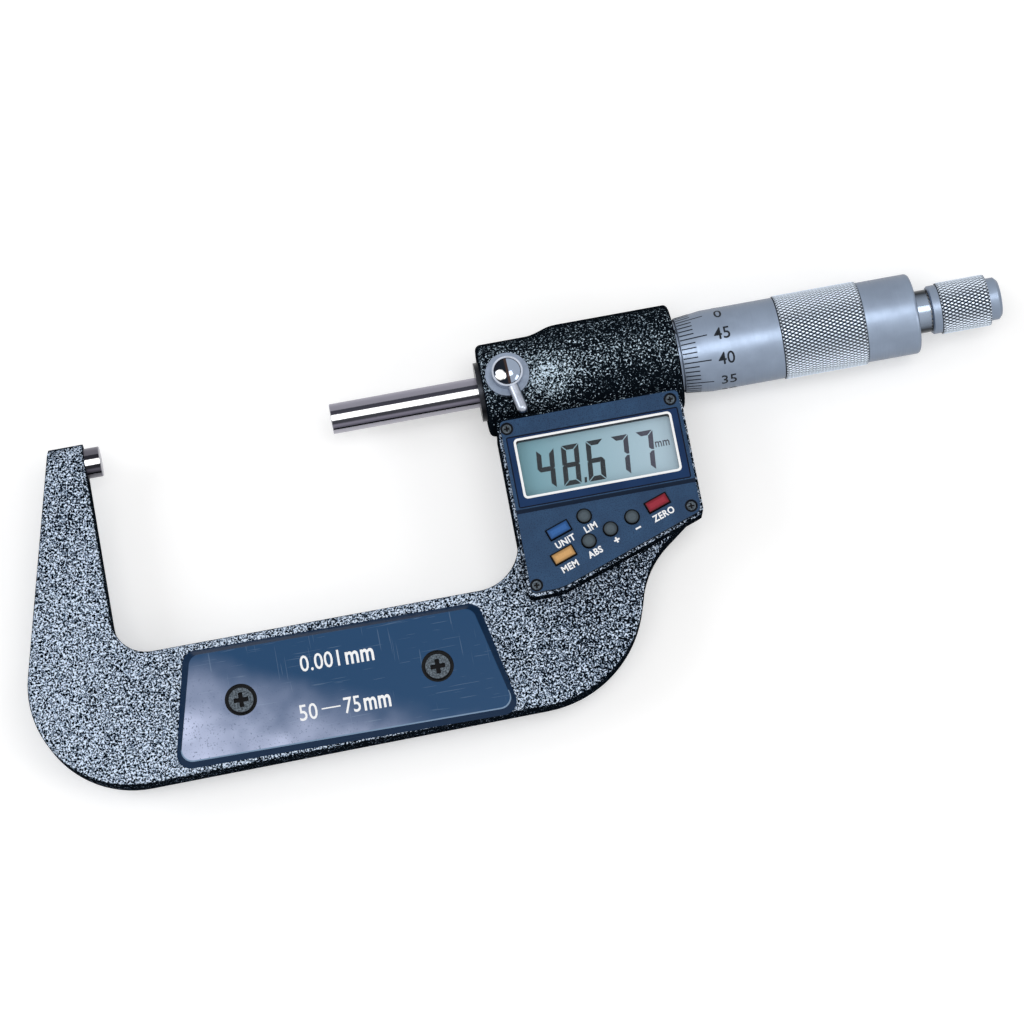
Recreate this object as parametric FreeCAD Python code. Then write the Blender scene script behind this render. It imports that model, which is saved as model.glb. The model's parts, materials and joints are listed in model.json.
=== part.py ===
import FreeCAD, Part
import math
import os

# Digital outside micrometer with a U frame, lying on its back.
# Origin: centre of the anvil's measuring face. +X runs along the spindle towards the
# thimble, +Y from the bow of the frame to the spindle, +Z out of the display face.
# All sizes are in millimetres, all angles in degrees.

# Measuring line
measuring_gap = 50.0
travel = 25.0
spindle_dia = 6.5
anvil_tip_length = 1.9
spindle_tip_length = 1.1
tip_bevel = 0.15
spindle_reach = 33.0

# Fits
running_gap = 0.03
sliding_gap = 0.05
loose_gap = 0.15
seat_gap = 0.10

# Bow of the frame
web_thickness = 8.5
web_edge_radius = 1.1
throat_depth = 43.5
throat_back = 3.3
throat_radius_anvil = 7.5
throat_radius_spindle = 10.0
arm_width_at_anvil = 8.3
arm_lean = 13.8
bow_width = 27.8
bow_rise = 0.55
bow_radius_anvil = 21.9
bow_radius_spindle = 25.0
shoulder_radius = 20.0
shoulder_lean = 17.0
shoulder_rise = 36.5
shoulder_corner_x = 13.4
shoulder_start = 2.3
anvil_seat_depth = 5.0

# Barrel of the frame
barrel_length = 42.2
barrel_nose_radius = 10.0
barrel_radius = 11.4
barrel_swell_start = 12.2
barrel_swell_end = 16.6
barrel_swell_round = 9.0
barrel_nose_round = 1.2
barrel_end_chamfer = 0.9
chamber_radius = 9.0
chamber_start = 14.5

# Guide bush in the nose of the barrel
guide_length = 12.0
guide_radius = 5.0
guide_flange_radius = 6.4
guide_flange_length = 1.0
barrel_throat_radius = 3.6

# Display housing
housing_margin = 1.3
housing_front = 8.5
housing_back = 9.4
housing_wall = 1.8
housing_floor = 2.0
housing_tuck = 3.6
housing_back_round = 1.2
rim_width = 0.6
rim_top = 1.0
pocket_top = -13.4
board_ledge = 0.8

# Display panel
panel_top = -9.9
panel_height = 37.5
panel_slope = 19.0
panel_chin_inset = 6.45
panel_corner = 1.0
panel_heel_round = 1.8
panel_chin_round = 12.0
panel_base = 1.2
panel_step = 0.8
panel_step_y = -30.2
panel_step_run = 0.7
panel_screw_inset = 1.3
panel_screw_top = 1.8
panel_screw_heel = 1.3
panel_screw_foot = 1.5
panel_screw_head = 1.05
panel_screw_head_height = 0.55
panel_screw_recess = 1.27
panel_screw_recess_depth = 0.7
panel_screw_shank = 0.7
panel_screw_length = 5.0
panel_boss_radius = 2.1

# Display window and its glass
lens_inset = 0.75
lens_top = -13.6
lens_height = 15.6
lens_thickness = 1.0
lens_sunk = 0.05
lens_corner = 0.5
window_inset = 2.7
window_height = 12.4
window_top = -14.7
window_corner = 0.8
glass_thickness = 2.0
glass_overlap = 0.9
glass_ledge = 2.4
glass_drop = 0.1

# Circuit board, holder and rubber connector
board_thickness = 1.0
board_level = 3.0
board_gap = 0.3
holder_rim = 0.35
holder_rim_height = 1.0
holder_wall = 1.2
holder_corner = 0.7
connector_width = 1.4
connector_inset = 1.0

# Buttons
round_button_radius = 1.45
bar_button_length = 4.9
bar_button_width = 2.3
bar_button_corner = 0.3
button_gap = 0.2
button_proud = 0.45
button_travel = 0.4
button_flange = 0.5
button_flange_height = 0.6
button_foot_radius = 0.8
button_pitch = 5.22
button_end_pitch = 6.15
button_row_shift = -0.394
button_row_rise = 6.245
button_second_row = 5.45
mat_thickness = 0.6
dome_height = 0.8
dome_radius = 1.3

# Insulating plate on the bow
plate_top_width = 62.9
plate_bottom_width = 73.5
plate_height = 24.8
plate_shift = 1.35
plate_drop = 0.6
plate_lean = -0.75
plate_corner = 3.0
plate_thickness = 1.6
plate_bevel = 1.4
plate_screw_spacing = 41.8
plate_screw_recess = 3.4
plate_screw_recess_depth = 1.0
plate_screw_head = 2.8
plate_screw_head_height = 0.75
plate_screw_shank = 1.4
plate_screw_length = 4.0

# Cross recess of a screw, as shares of its head
recess_reach = 0.56
recess_width = 0.34
recess_depth = 0.44

# Spindle lock
lock_x = 5.5
lock_boss_radius = 4.9
lock_boss_level = 9.6
lock_flange_radius = 4.7
lock_flange_height = 1.3
lock_spigot_radius = 3.0
lock_spigot_depth = 4.2
lock_stud_radius = 1.5
lock_pad_radius = 1.9
lock_pad_height = 0.9
lock_hub_radius = 3.3
lock_hub_height = 2.4
lock_rim_width = 0.4
lock_rim_depth = 0.9
lock_cap_dome = 0.9
lock_slot_width = 0.5
lock_slot_depth = 0.7
lock_slot_turn = 80.0
lever_length = 8.3
lever_root_radius = 1.05
lever_end_radius = 1.2
lever_angle = -78.0

# Encoder
stator_start = 1.5
stator_thickness = 1.6
stator_hole = 4.2
rotor_gap = 0.7
rotor_radius = 8.3
rotor_thickness = 1.2
rotor_bush_radius = 5.0
rotor_bush_length = 9.6
rotor_bush_flange = 6.4
keyway_width = 1.2
keyway_depth = 0.9
key_radius = 0.55
key_from_end = 1.2
washer_thickness = 0.3
tail_width = 5.6
tail_thickness = 0.3
tail_foot = 1.0

# Sleeves and nut
sleeve_radius = 7.5
inner_sleeve_radius = 6.6
sleeve_end = 37.4
shoulder_depth = 11.6
shoulder_sunk = 0.4
inner_sleeve_end = 43.0
nut_start = 24.8
nut_taper_start = 36.6
nut_taper_radius = 5.6
thread_radius = 4.0
thread_start = 4.2
thread_end = 44.0
thread_undercut = 0.4
slit_count = 3
slit_start = 3.0
slit_width = 0.6
adjusting_nut_radius = 7.0
adjusting_nut_length = 5.0
adjusting_nut_notch = 1.4

# Thimble
thimble_start = 0.7
thimble_length = 51.6
thimble_edge_radius = 8.1
thimble_radius = 8.8
thimble_taper = 6.0
thimble_rear_radius = 8.7
thimble_end_round = 0.8
thimble_end_wall = 6.0
knurl_start = 22.9
knurl_length = 19.0
knurl_radius = 9.1
knurl_chamfer = 0.3
cone_front_radius = 3.7
cone_back_radius = 3.3

# Ratchet stop
neck_radius = 4.65
neck_length = 3.0
shank_radius = 1.75
shank_length = 8.0
ratchet_teeth = 24
tooth_height = 0.45
tooth_inner_radius = 2.6
tooth_outer_radius = 4.1
knob_gap = 0.4
knob_collar_radius = 5.25
knob_collar_length = 2.1
knob_knurl_radius = 5.6
knob_knurl_length = 10.6
knob_tip_radius = 4.6
knob_tip_length = 2.7
knob_tip_chamfer = 0.7
knob_bore_radius = 4.4
knob_bore_depth = 9.1
knob_web = 2.2
knob_recess_radius = 3.2
clutch_length = 2.6
clutch_key_width = 1.2
clutch_key_height = 0.4
axle_radius = 1.9
end_screw_head = 2.9
end_screw_height = 1.5
end_screw_shank = 0.95
end_screw_length = 4.0
spring_wire = 0.3
spring_radius = 2.9
spring_turns = 4.0

# Battery and its cap
battery_shift = -0.1
battery_y = -24.5
battery_radius = 5.8
battery_height = 5.4
battery_gap = 0.15
holder_ring = 1.0
holder_start = 1.1
contact_width = 2.4
contact_thickness = 0.2
contact_reach = 8.0
cap_radius = 7.5
cap_thickness = 1.0
cap_spigot_radius = 6.5
cap_lug_reach = 0.6
cap_lug_width = 3.0
cap_lug_height = 0.6
cap_slot_width = 1.6
cap_slot_length = 9.5
cap_slot_depth = 0.6
seal_width = 0.7
seal_thickness = 0.4

# Places worked out from the sizes above
half_web = web_thickness / 2
spindle_radius = spindle_dia / 2
barrel_start = measuring_gap + spindle_reach
barrel_end = barrel_start + barrel_length
housing_left = barrel_start + housing_margin
housing_right = barrel_end - housing_margin
panel_left = housing_left + rim_width
panel_right = housing_right - rim_width
panel_bottom = panel_top - panel_height
slope_run = math.tan(math.radians(panel_slope))
chin_place = panel_left + panel_chin_inset
panel_heel = panel_bottom + (panel_right - chin_place) * slope_run
window_width = panel_right - panel_left - 2 * window_inset
bow_depth = throat_depth + bow_width
plate_center_x = (housing_left - throat_back) / 2 + plate_shift
plate_center_y = -throat_depth - bow_width / 2 - plate_drop
lower_level = housing_front + panel_base
upper_level = lower_level + panel_step
thimble_edge = barrel_end + thimble_start
thimble_end = thimble_edge + thimble_length
neck_end = thimble_end + neck_length
knob_start = neck_end + knob_gap
knob_tip_start = knob_start + knob_collar_length + knob_knurl_length
knob_end = knob_tip_start + knob_tip_length
knob_floor = knob_start + knob_bore_depth
chamber_x = barrel_start + chamber_start
stator_x = chamber_x + stator_start
rotor_x = stator_x + stator_thickness + rotor_gap
rotor_end = rotor_x + rotor_bush_length
inner_sleeve_start = barrel_end - shoulder_depth
key_x = rotor_end - key_from_end - key_radius
floor_level = -housing_back + housing_floor
board_top = board_level + board_thickness
lock_axis_x = barrel_start + lock_x
lock_flange_top = lock_boss_level + lock_flange_height
lock_hub_base = lock_flange_top + seat_gap
lock_hub_top = lock_hub_base + lock_hub_height
lock_cup_floor = lock_hub_top - lock_rim_depth
lock_pad_base = spindle_radius + sliding_gap
lock_pad_top = lock_pad_base + lock_pad_height
cell_x = (housing_left + housing_right) / 2 + battery_shift


def vec(x, y, z=0.0):
    return FreeCAD.Vector(x, y, z)


def cylinder_x(start, end, radius):
    return Part.makeCylinder(radius, end - start, vec(start, 0), vec(1, 0))


def cylinder_z(x, y, bottom, top, radius):
    return Part.makeCylinder(radius, top - bottom, vec(x, y, bottom), vec(0, 0, 1))


def block(x0, x1, y0, y1, z0, z1):
    return Part.makeBox(x1 - x0, y1 - y0, z1 - z0, vec(x0, y0, z0))


def join(shapes):
    whole = shapes[0].fuse(list(shapes[1:]))
    return whole.removeSplitter()


def rounded_wire(corners, level=0.0):
    """Closed outline through corners of (x, y, radius), each corner rounded to its radius."""
    count = len(corners)
    joints = []
    for index in range(count):
        x, y, radius = corners[index]
        here = vec(x, y, level)
        before = vec(corners[index - 1][0], corners[index - 1][1], level) - here
        after = vec(corners[(index + 1) % count][0], corners[(index + 1) % count][1], level) - here
        before.normalize()
        after.normalize()
        half = before.getAngle(after) / 2
        if radius == 0:
            joints.append((here, None, here))
            continue
        reach = radius / math.tan(half)
        middle = before + after
        middle.normalize()
        top = here + middle * (radius / math.sin(half) - radius)
        joints.append((here + before * reach, top, here + after * reach))
    edges = []
    for index in range(count):
        start, top, end = joints[index]
        if top is not None:
            edges.append(Part.Arc(start, top, end).toShape())
        following = joints[(index + 1) % count][0]
        if end.distanceToPoint(following) > 1e-6:
            edges.append(Part.LineSegment(end, following).toShape())
    return Part.Wire(edges)


def prism(corners, bottom, top):
    face = Part.Face(rounded_wire(corners, bottom))
    return face.extrude(vec(0, 0, top - bottom))


def frustum(lower, bottom, upper, top):
    return Part.makeLoft([rounded_wire(lower, bottom), rounded_wire(upper, top)], True, True)


def turned(corners):
    """Solid turned about the X axis from corners of (x, distance from the axis, radius)."""
    face = Part.Face(rounded_wire(corners))
    return face.revolve(vec(0, 0), vec(1, 0), 360)


def fitted(corners):
    """Same corners, with a radius held back where its sides are too short for it."""
    count = len(corners)
    sides = []
    for index in range(count):
        following = corners[(index + 1) % count]
        sides.append(vec(following[0] - corners[index][0], following[1] - corners[index][1]))
    reaches = []
    for index in range(count):
        turn = sides[index - 1].getAngle(sides[index])
        reaches.append(corners[index][2] * math.tan(turn / 2))
    shares = []
    for index in range(count):
        taken = reaches[index] + reaches[(index + 1) % count]
        shares.append(sides[index].Length / max(taken, sides[index].Length))
    result = []
    for index in range(count):
        x, y, radius = corners[index]
        result.append((x, y, radius * min(shares[index - 1], shares[index])))
    return result


def box_corners(x0, x1, y0, y1, radius):
    return [(x0, y1, radius), (x1, y1, radius), (x1, y0, radius), (x0, y0, radius)]


def polar(x, y, angle, distance):
    return x + distance * math.cos(math.radians(angle)), y + distance * math.sin(math.radians(angle))


# Frame casting

def bow_corners():
    """Outline of the U: outer side from the anvil arm round to the housing, then the throat."""
    lean = math.tan(math.radians(arm_lean))
    outer_x = -throat_back - arm_width_at_anvil
    base = -bow_depth
    rise = math.tan(math.radians(bow_rise))
    shoulder = math.radians(90 - shoulder_lean)
    climb = math.tan(math.radians(shoulder_rise))
    right = housing_right
    shoulder_x = right - shoulder_corner_x
    start_y = panel_heel + shoulder_start
    shoulder_y = start_y - shoulder_corner_x * climb
    foot_y = base + rise * shoulder_x
    foot_x = shoulder_x - (shoulder_y - foot_y) / math.tan(shoulder)
    heel_x = (outer_x + lean * base) / (1 - lean * rise)
    return fitted([
        (outer_x + lean * half_web, half_web, 0),
        (heel_x, base + rise * heel_x, bow_radius_anvil),
        (foot_x, base + rise * foot_x, bow_radius_spindle),
        (shoulder_x, shoulder_y, shoulder_radius),
        (right, start_y, 0),
        (right, -barrel_nose_radius / 2, 0),
        (housing_left, -barrel_nose_radius / 2, 0),
        (housing_left, -throat_depth, throat_radius_spindle),
        (-throat_back, -throat_depth, throat_radius_anvil),
        (-throat_back, half_web, 0),
    ])


def housing_corners(side, bottom, top_y, heel=panel_heel_round, chin=panel_chin_round):
    """Five-sided outline of the panel, moved out by side and bottom."""
    left = panel_left - side
    right = panel_right + side
    drop = bottom / math.cos(math.radians(panel_slope))
    heel_y = panel_heel + slope_run * side - drop
    base = panel_bottom - bottom
    chin_x = right - (heel_y - base) / slope_run
    return [
        (left, top_y, panel_corner),
        (right, top_y, panel_corner),
        (right, heel_y, heel),
        (chin_x, base, chin),
        (left, base, panel_corner),
    ]


def panel_screw_places():
    left = panel_left + panel_screw_inset
    right = panel_right - panel_screw_inset - rim_width
    return [
        (left, panel_top - panel_screw_top, upper_level),
        (right, panel_top - panel_screw_top, upper_level),
        (right, panel_heel + panel_screw_heel, lower_level),
        (left, panel_bottom + panel_screw_foot, lower_level),
    ]


def plate_point(along, across):
    """Place on the bow from distances along and across the insulating plate."""
    turn = math.radians(plate_lean)
    x = plate_center_x + along * math.cos(turn) - across * math.sin(turn)
    y = plate_center_y + along * math.sin(turn) + across * math.cos(turn)
    return x, y


def plate_screw_places():
    half = plate_screw_spacing / 2
    return [plate_point(-half, 0), plate_point(half, 0)]


def barrel():
    swell_start = barrel_start + barrel_swell_start
    swell_end = barrel_start + barrel_swell_end
    return turned([
        (barrel_start, 0, 0),
        (barrel_start, barrel_nose_radius, barrel_nose_round),
        (swell_start, barrel_nose_radius, barrel_swell_round),
        (swell_end, barrel_radius, barrel_swell_round),
        (barrel_end, barrel_radius, barrel_end_chamfer),
        (barrel_end, 0, 0),
    ])


def bow():
    web = prism(bow_corners(), -half_web, half_web)
    rims = []
    for edge in web.Edges:
        box = edge.BoundBox
        if box.ZLength < 0.01 and box.YMax < half_web - 0.01:
            rims.append(edge)
    web = web.makeFillet(web_edge_radius, rims)
    arm_top = cylinder_x(-bow_depth, barrel_start, half_web)
    below = block(-bow_depth, barrel_end, -2 * bow_depth, 0, -web_thickness, web_thickness)
    return web.common(arm_top.fuse(below))


def housing_tuck_cut(corner):
    """Wedge that leans the slanted side inwards, from the front of the web to the back."""
    lean = housing_tuck / (half_web + housing_back)
    low = -housing_back - 1
    reach = (half_web - low) * lean
    wedge = Part.makePolygon([
        vec(0, 0, half_web),
        vec(0, reach, low),
        vec(0, -housing_back, low),
        vec(0, -housing_back, half_web),
        vec(0, 0, half_web),
    ])
    wedge = Part.Face(wedge).extrude(vec(-2 * barrel_length, 0))
    wedge.translate(vec(housing_back, 0))
    wedge.rotate(vec(0, 0), vec(0, 0, 1), panel_slope)
    wedge.translate(vec(corner[0], corner[1]))
    return wedge


def housing():
    rim = housing_corners(rim_width, rim_width, panel_top + rim_top)
    box = prism(rim, -housing_back, housing_front).cut(housing_tuck_cut(rim[2]))
    edges = []
    for edge in box.Edges:
        if edge.BoundBox.ZMax < -housing_back + 0.01:
            edges.append(edge)
    return box.makeFillet(housing_back_round, edges)


def pocket(clearance, level_bottom, level_top, tuck=0.0):
    """Space inside the housing wall, less the two screw bosses that stand in it."""
    inset = housing_wall - rim_width + clearance
    corners = housing_corners(-inset, -inset - tuck, pocket_top - clearance, panel_corner, panel_corner)
    space = prism(corners, level_bottom, level_top)
    bosses = []
    for x, y, _ in panel_screw_places()[2:]:
        bosses.append(cylinder_z(x, y, level_bottom, level_top, panel_boss_radius + clearance))
    return space.cut(bosses)


def cap_notches(bottom, top):
    reach = cap_spigot_radius + cap_lug_reach + seat_gap
    half = cap_lug_width / 2 + loose_gap
    bar = block(cell_x - reach, cell_x + reach, battery_y - half, battery_y + half, bottom, top)
    return bar.common(cylinder_z(cell_x, battery_y, bottom, top, reach))


def tail_slot(start, end, depth):
    """Way for the encoder's tail from the barrel down to the board."""
    return block(start, end, depth, 0, -tail_width / 2 - loose_gap, board_level + loose_gap)


def frame():
    boss = cylinder_z(lock_axis_x, 0, 0, lock_boss_level, lock_boss_radius)
    body = join([bow(), barrel(), housing(), boss])
    seat_level = -housing_back + cap_thickness
    cuts = [
        cylinder_x(-throat_back - anvil_seat_depth, 0, spindle_radius),
        cylinder_x(barrel_start - 1, barrel_start + guide_length, guide_radius),
        cylinder_x(barrel_start, barrel_end, barrel_throat_radius),
        cylinder_x(chamber_x, barrel_end + 1, chamber_radius),
        cylinder_z(lock_axis_x, 0, lock_boss_level - lock_spigot_depth, barrel_radius, lock_spigot_radius),
        cylinder_z(lock_axis_x, 0, 0, lock_boss_level, lock_pad_radius + sliding_gap),
        cylinder_z(lock_axis_x, 0, lock_boss_level, barrel_radius, lock_boss_radius + seat_gap),
        pocket(0, board_level, housing_front + 1),
        pocket(board_ledge, floor_level, board_level, housing_tuck),
        cylinder_z(cell_x, battery_y, -housing_back - 1, seat_level, cap_radius + seat_gap),
        cylinder_z(cell_x, battery_y, -housing_back, seat_level + seal_thickness,
                   cap_spigot_radius + seat_gap + seal_width),
        cylinder_z(cell_x, battery_y, -housing_back, floor_level + 1, cap_spigot_radius + seat_gap),
        cap_notches(-housing_back + cap_thickness, floor_level + 1),
    ]
    cuts.append(tail_slot(stator_x - tail_thickness - loose_gap, stator_x + loose_gap,
                          pocket_top - board_ledge - board_gap))
    for x, y, _ in panel_screw_places():
        cuts.append(cylinder_z(x, y, housing_front - panel_screw_length, housing_front, panel_screw_shank))
    for x, y in plate_screw_places():
        cuts.append(cylinder_z(x, y, half_web - plate_screw_length, half_web, plate_screw_shank))
    return body.cut(cuts)


# Anvil, spindle and their hard tips

def anvil():
    return cylinder_x(-throat_back - anvil_seat_depth, -anvil_tip_length, spindle_radius)


def anvil_tip():
    return turned([
        (-anvil_tip_length, 0, 0),
        (-anvil_tip_length, spindle_radius, 0),
        (-tip_bevel, spindle_radius, 0),
        (0, spindle_radius - tip_bevel, 0),
        (0, 0, 0),
    ])


def spindle():
    thread_relief = thread_radius - thread_undercut
    thread_x = barrel_end - thread_start
    cone_x = thimble_end - thimble_end_wall
    rod = turned([
        (measuring_gap + spindle_tip_length, 0, 0),
        (measuring_gap + spindle_tip_length, spindle_radius, 0),
        (thread_x, spindle_radius, 0),
        (thread_x + thread_radius - spindle_radius, thread_radius - running_gap, 0),
        (barrel_end + thread_end, thread_radius - running_gap, 0),
        (barrel_end + thread_end, thread_relief, 0),
        (cone_x, thread_relief, 0),
        (cone_x, cone_front_radius, 0),
        (thimble_end, cone_back_radius, 0),
        (thimble_end, 0, 0),
    ])
    half = keyway_width / 2
    keyway_start = key_x - key_radius - travel - loose_gap
    keyway = block(keyway_start, rotor_end, -half, half, -thread_radius, keyway_depth - spindle_radius)
    hole = cylinder_x(thimble_end - shank_length, thimble_end, shank_radius)
    return rod.cut([keyway, hole])


def spindle_tip():
    return turned([
        (measuring_gap, 0, 0),
        (measuring_gap, spindle_radius - tip_bevel, 0),
        (measuring_gap + tip_bevel, spindle_radius, 0),
        (measuring_gap + spindle_tip_length, spindle_radius, 0),
        (measuring_gap + spindle_tip_length, 0, 0),
    ])


# Guide bush and spindle lock

def guide_bush():
    bush = join([
        cylinder_x(barrel_start - guide_flange_length, barrel_start, guide_flange_radius),
        cylinder_x(barrel_start, barrel_start + guide_length, guide_radius),
    ])
    bore = cylinder_x(barrel_start - 2, barrel_end, spindle_radius + running_gap)
    cross = cylinder_z(lock_axis_x, 0, 0, barrel_radius, lock_pad_radius + sliding_gap)
    return bush.cut([bore, cross])


def lock_bush():
    flange = cylinder_z(lock_axis_x, 0, lock_boss_level, lock_flange_top, lock_flange_radius)
    spigot = cylinder_z(lock_axis_x, 0, lock_boss_level - lock_spigot_depth, lock_boss_level,
                        lock_spigot_radius)
    bore = cylinder_z(lock_axis_x, 0, 0, lock_flange_top, lock_stud_radius + sliding_gap)
    return join([flange, spigot]).cut(bore)


def lock_pad():
    pad = cylinder_z(lock_axis_x, 0, 0, lock_pad_top, lock_pad_radius)
    return pad.cut(cylinder_x(barrel_start, barrel_end, lock_pad_base))


def lock_stud():
    return cylinder_z(lock_axis_x, 0, lock_pad_top + seat_gap, lock_cup_floor, lock_stud_radius)


def lock_lever():
    hub = cylinder_z(lock_axis_x, 0, lock_hub_base, lock_hub_top, lock_hub_radius)
    level = lock_hub_base + lever_end_radius
    tip_x, tip_y = polar(lock_axis_x, 0, lever_angle, lever_length)
    start = vec(lock_axis_x, 0, level)
    way = vec(tip_x, tip_y, level) - start
    arm = Part.makeCone(lever_root_radius, lever_end_radius, lever_length, start, way)
    end = Part.makeSphere(lever_end_radius, vec(tip_x, tip_y, level))
    cup = cylinder_z(lock_axis_x, 0, lock_cup_floor, lock_hub_top, lock_hub_radius - lock_rim_width)
    hole = cylinder_z(lock_axis_x, 0, 0, lock_hub_top, lock_stud_radius)
    return join([hub, arm, end]).cut([cup, hole])


def lock_cap_screw():
    radius = lock_hub_radius - lock_rim_width
    ball = (radius * radius + lock_cap_dome * lock_cap_dome) / (2 * lock_cap_dome)
    crown = lock_hub_top + lock_cap_dome - seat_gap
    cap = cylinder_z(lock_axis_x, 0, lock_cup_floor, crown, radius)
    dome = Part.makeSphere(ball, vec(lock_axis_x, 0, crown - ball))
    half = lock_slot_width / 2
    slot = block(-lock_hub_radius, lock_hub_radius, -half, half, crown - lock_slot_depth, crown + 1)
    slot.rotate(vec(0, 0), vec(0, 0, 1), lock_slot_turn)
    slot.translate(vec(lock_axis_x, 0))
    return cap.common(dome).cut(slot)


# Encoder between the spindle and the barrel

def encoder_stator():
    disc = cylinder_x(stator_x, stator_x + stator_thickness, chamber_radius)
    return disc.cut(cylinder_x(stator_x, stator_x + stator_thickness, stator_hole))


def stator_spacer():
    ring = cylinder_x(chamber_x, stator_x, chamber_radius)
    gap = tail_slot(chamber_x, stator_x, -chamber_radius - 1)
    return ring.cut([cylinder_x(chamber_x, stator_x, chamber_radius - housing_wall), gap])


def encoder_tail():
    top = -chamber_radius + housing_wall
    foot = pocket_top - board_gap - tail_foot
    return block(stator_x - tail_thickness, stator_x, foot, top, -tail_width / 2, board_level)


def rotor_bush():
    flange = cylinder_x(rotor_x + rotor_thickness, rotor_x + 2 * rotor_thickness, rotor_bush_flange)
    body = cylinder_x(rotor_x, rotor_end, rotor_bush_radius)
    bore = cylinder_x(rotor_x, rotor_end, spindle_radius + sliding_gap)
    key = cylinder_z(key_x, 0, -rotor_bush_radius, 0, key_radius)
    return join([flange, body]).cut([bore, key])


def encoder_rotor():
    disc = cylinder_x(rotor_x, rotor_x + rotor_thickness, rotor_radius)
    return disc.cut(cylinder_x(rotor_x, rotor_x + rotor_thickness, rotor_bush_radius))


def rotor_key():
    tip = keyway_depth - spindle_radius - sliding_gap
    return cylinder_z(key_x, 0, -rotor_bush_radius, tip, key_radius)


def rotor_washer():
    start = rotor_end + seat_gap
    end = inner_sleeve_start
    inner = spindle_radius + 2 * loose_gap
    return turned([
        (start, inner, 0),
        (start + washer_thickness, inner, 0),
        (end, chamber_radius - housing_wall, 0),
        (end - washer_thickness, chamber_radius - housing_wall, 0),
    ])


# Sleeves and adjusting nut

def inner_sleeve():
    end = barrel_end + inner_sleeve_end
    tube = join([
        cylinder_x(inner_sleeve_start, barrel_end - shoulder_sunk, chamber_radius),
        cylinder_x(inner_sleeve_start, barrel_end + nut_taper_start, inner_sleeve_radius),
        cylinder_x(inner_sleeve_start, end, nut_taper_radius),
    ])
    cuts = [
        cylinder_x(inner_sleeve_start, barrel_end + nut_start, thread_radius + 2 * loose_gap),
        cylinder_x(inner_sleeve_start, end, thread_radius + running_gap),
    ]
    for index in range(slit_count):
        slit = block(barrel_end + nut_start + slit_start, end, -slit_width / 2, slit_width / 2, 0, sleeve_radius)
        slit.rotate(vec(0, 0), vec(1, 0), 90 + index * 360 / slit_count)
        cuts.append(slit)
    return tube.cut(cuts)


def graduated_sleeve():
    start = barrel_end - shoulder_sunk
    tube = cylinder_x(start, barrel_end + sleeve_end, sleeve_radius)
    return tube.cut(cylinder_x(start, barrel_end + sleeve_end, inner_sleeve_radius))


def adjusting_nut():
    start = barrel_end + sleeve_end + seat_gap
    nut = cylinder_x(start, start + adjusting_nut_length, adjusting_nut_radius)
    half = adjusting_nut_notch / 2
    notch = block(start + adjusting_nut_length - half, start + adjusting_nut_length,
                  -adjusting_nut_radius, adjusting_nut_radius, -half, half)
    return nut.cut([cylinder_x(start, start + adjusting_nut_length, nut_taper_radius), notch])


# Thimble

def thimble():
    knurl_x = thimble_edge + knurl_start
    knurl_end = knurl_x + knurl_length
    hollow = thimble_end - thimble_end_wall
    bore = sleeve_radius + sliding_gap
    return turned([
        (thimble_edge, bore, 0),
        (thimble_edge, thimble_edge_radius, 0),
        (thimble_edge + thimble_taper, thimble_radius, 0),
        (knurl_x, thimble_radius, 0),
        (knurl_x, knurl_radius - knurl_chamfer, 0),
        (knurl_x + knurl_chamfer, knurl_radius, 0),
        (knurl_end - knurl_chamfer, knurl_radius, 0),
        (knurl_end, knurl_radius - knurl_chamfer, 0),
        (knurl_end, thimble_rear_radius, 0),
        (thimble_end, thimble_rear_radius, thimble_end_round),
        (thimble_end, cone_back_radius, 0),
        (hollow, cone_front_radius, 0),
        (hollow, bore, 0),
    ])


# Ratchet stop

def face_teeth(level):
    """Radial wedges that rise from level towards the knob, wider than the ring that they shape."""
    teeth = []
    pitch = 360 / ratchet_teeth
    for index in range(ratchet_teeth):
        outline = []
        for radius in (axle_radius / 2, 2 * tooth_outer_radius):
            start = polar(0, 0, index * pitch, radius)
            end = polar(0, 0, (index + 1) * pitch, radius)
            corners = [
                vec(level - tooth_height, *start),
                vec(level, *start),
                vec(level + tooth_height, *end),
                vec(level - tooth_height, *end),
            ]
            outline.append(Part.makePolygon(corners + corners[:1]))
        teeth.append(Part.makeLoft(outline, True, True))
    return teeth


def ratchet_shaft():
    neck = cylinder_x(thimble_end, neck_end, neck_radius)
    shank = cylinder_x(thimble_end - shank_length, thimble_end, shank_radius)
    axle = cylinder_x(neck_end, knob_floor + knob_web, axle_radius)
    ring = cylinder_x(neck_end - tooth_height, neck_end + tooth_height, tooth_outer_radius)
    ring = ring.cut(cylinder_x(thimble_end, knob_end, tooth_inner_radius))
    teeth = ring.common(join(face_teeth(neck_end)))
    shaft = join([neck, shank, axle, teeth])
    hole_start = knob_floor + knob_web - end_screw_length
    return shaft.cut(cylinder_x(hole_start, knob_floor + knob_web, end_screw_shank))


def ratchet_clutch():
    start = neck_end + seat_gap / 2
    ring = cylinder_x(start, start + clutch_length, tooth_outer_radius + loose_gap)
    half = clutch_key_width / 2
    reach = knob_bore_radius + clutch_key_height - sliding_gap
    key = block(start + 2 * tooth_height, start + clutch_length, 0, reach, -half, half)
    bore = cylinder_x(thimble_end, knob_end, axle_radius + sliding_gap)
    return join([ring, key]).cut(bore).cut(join(face_teeth(start)))


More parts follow.
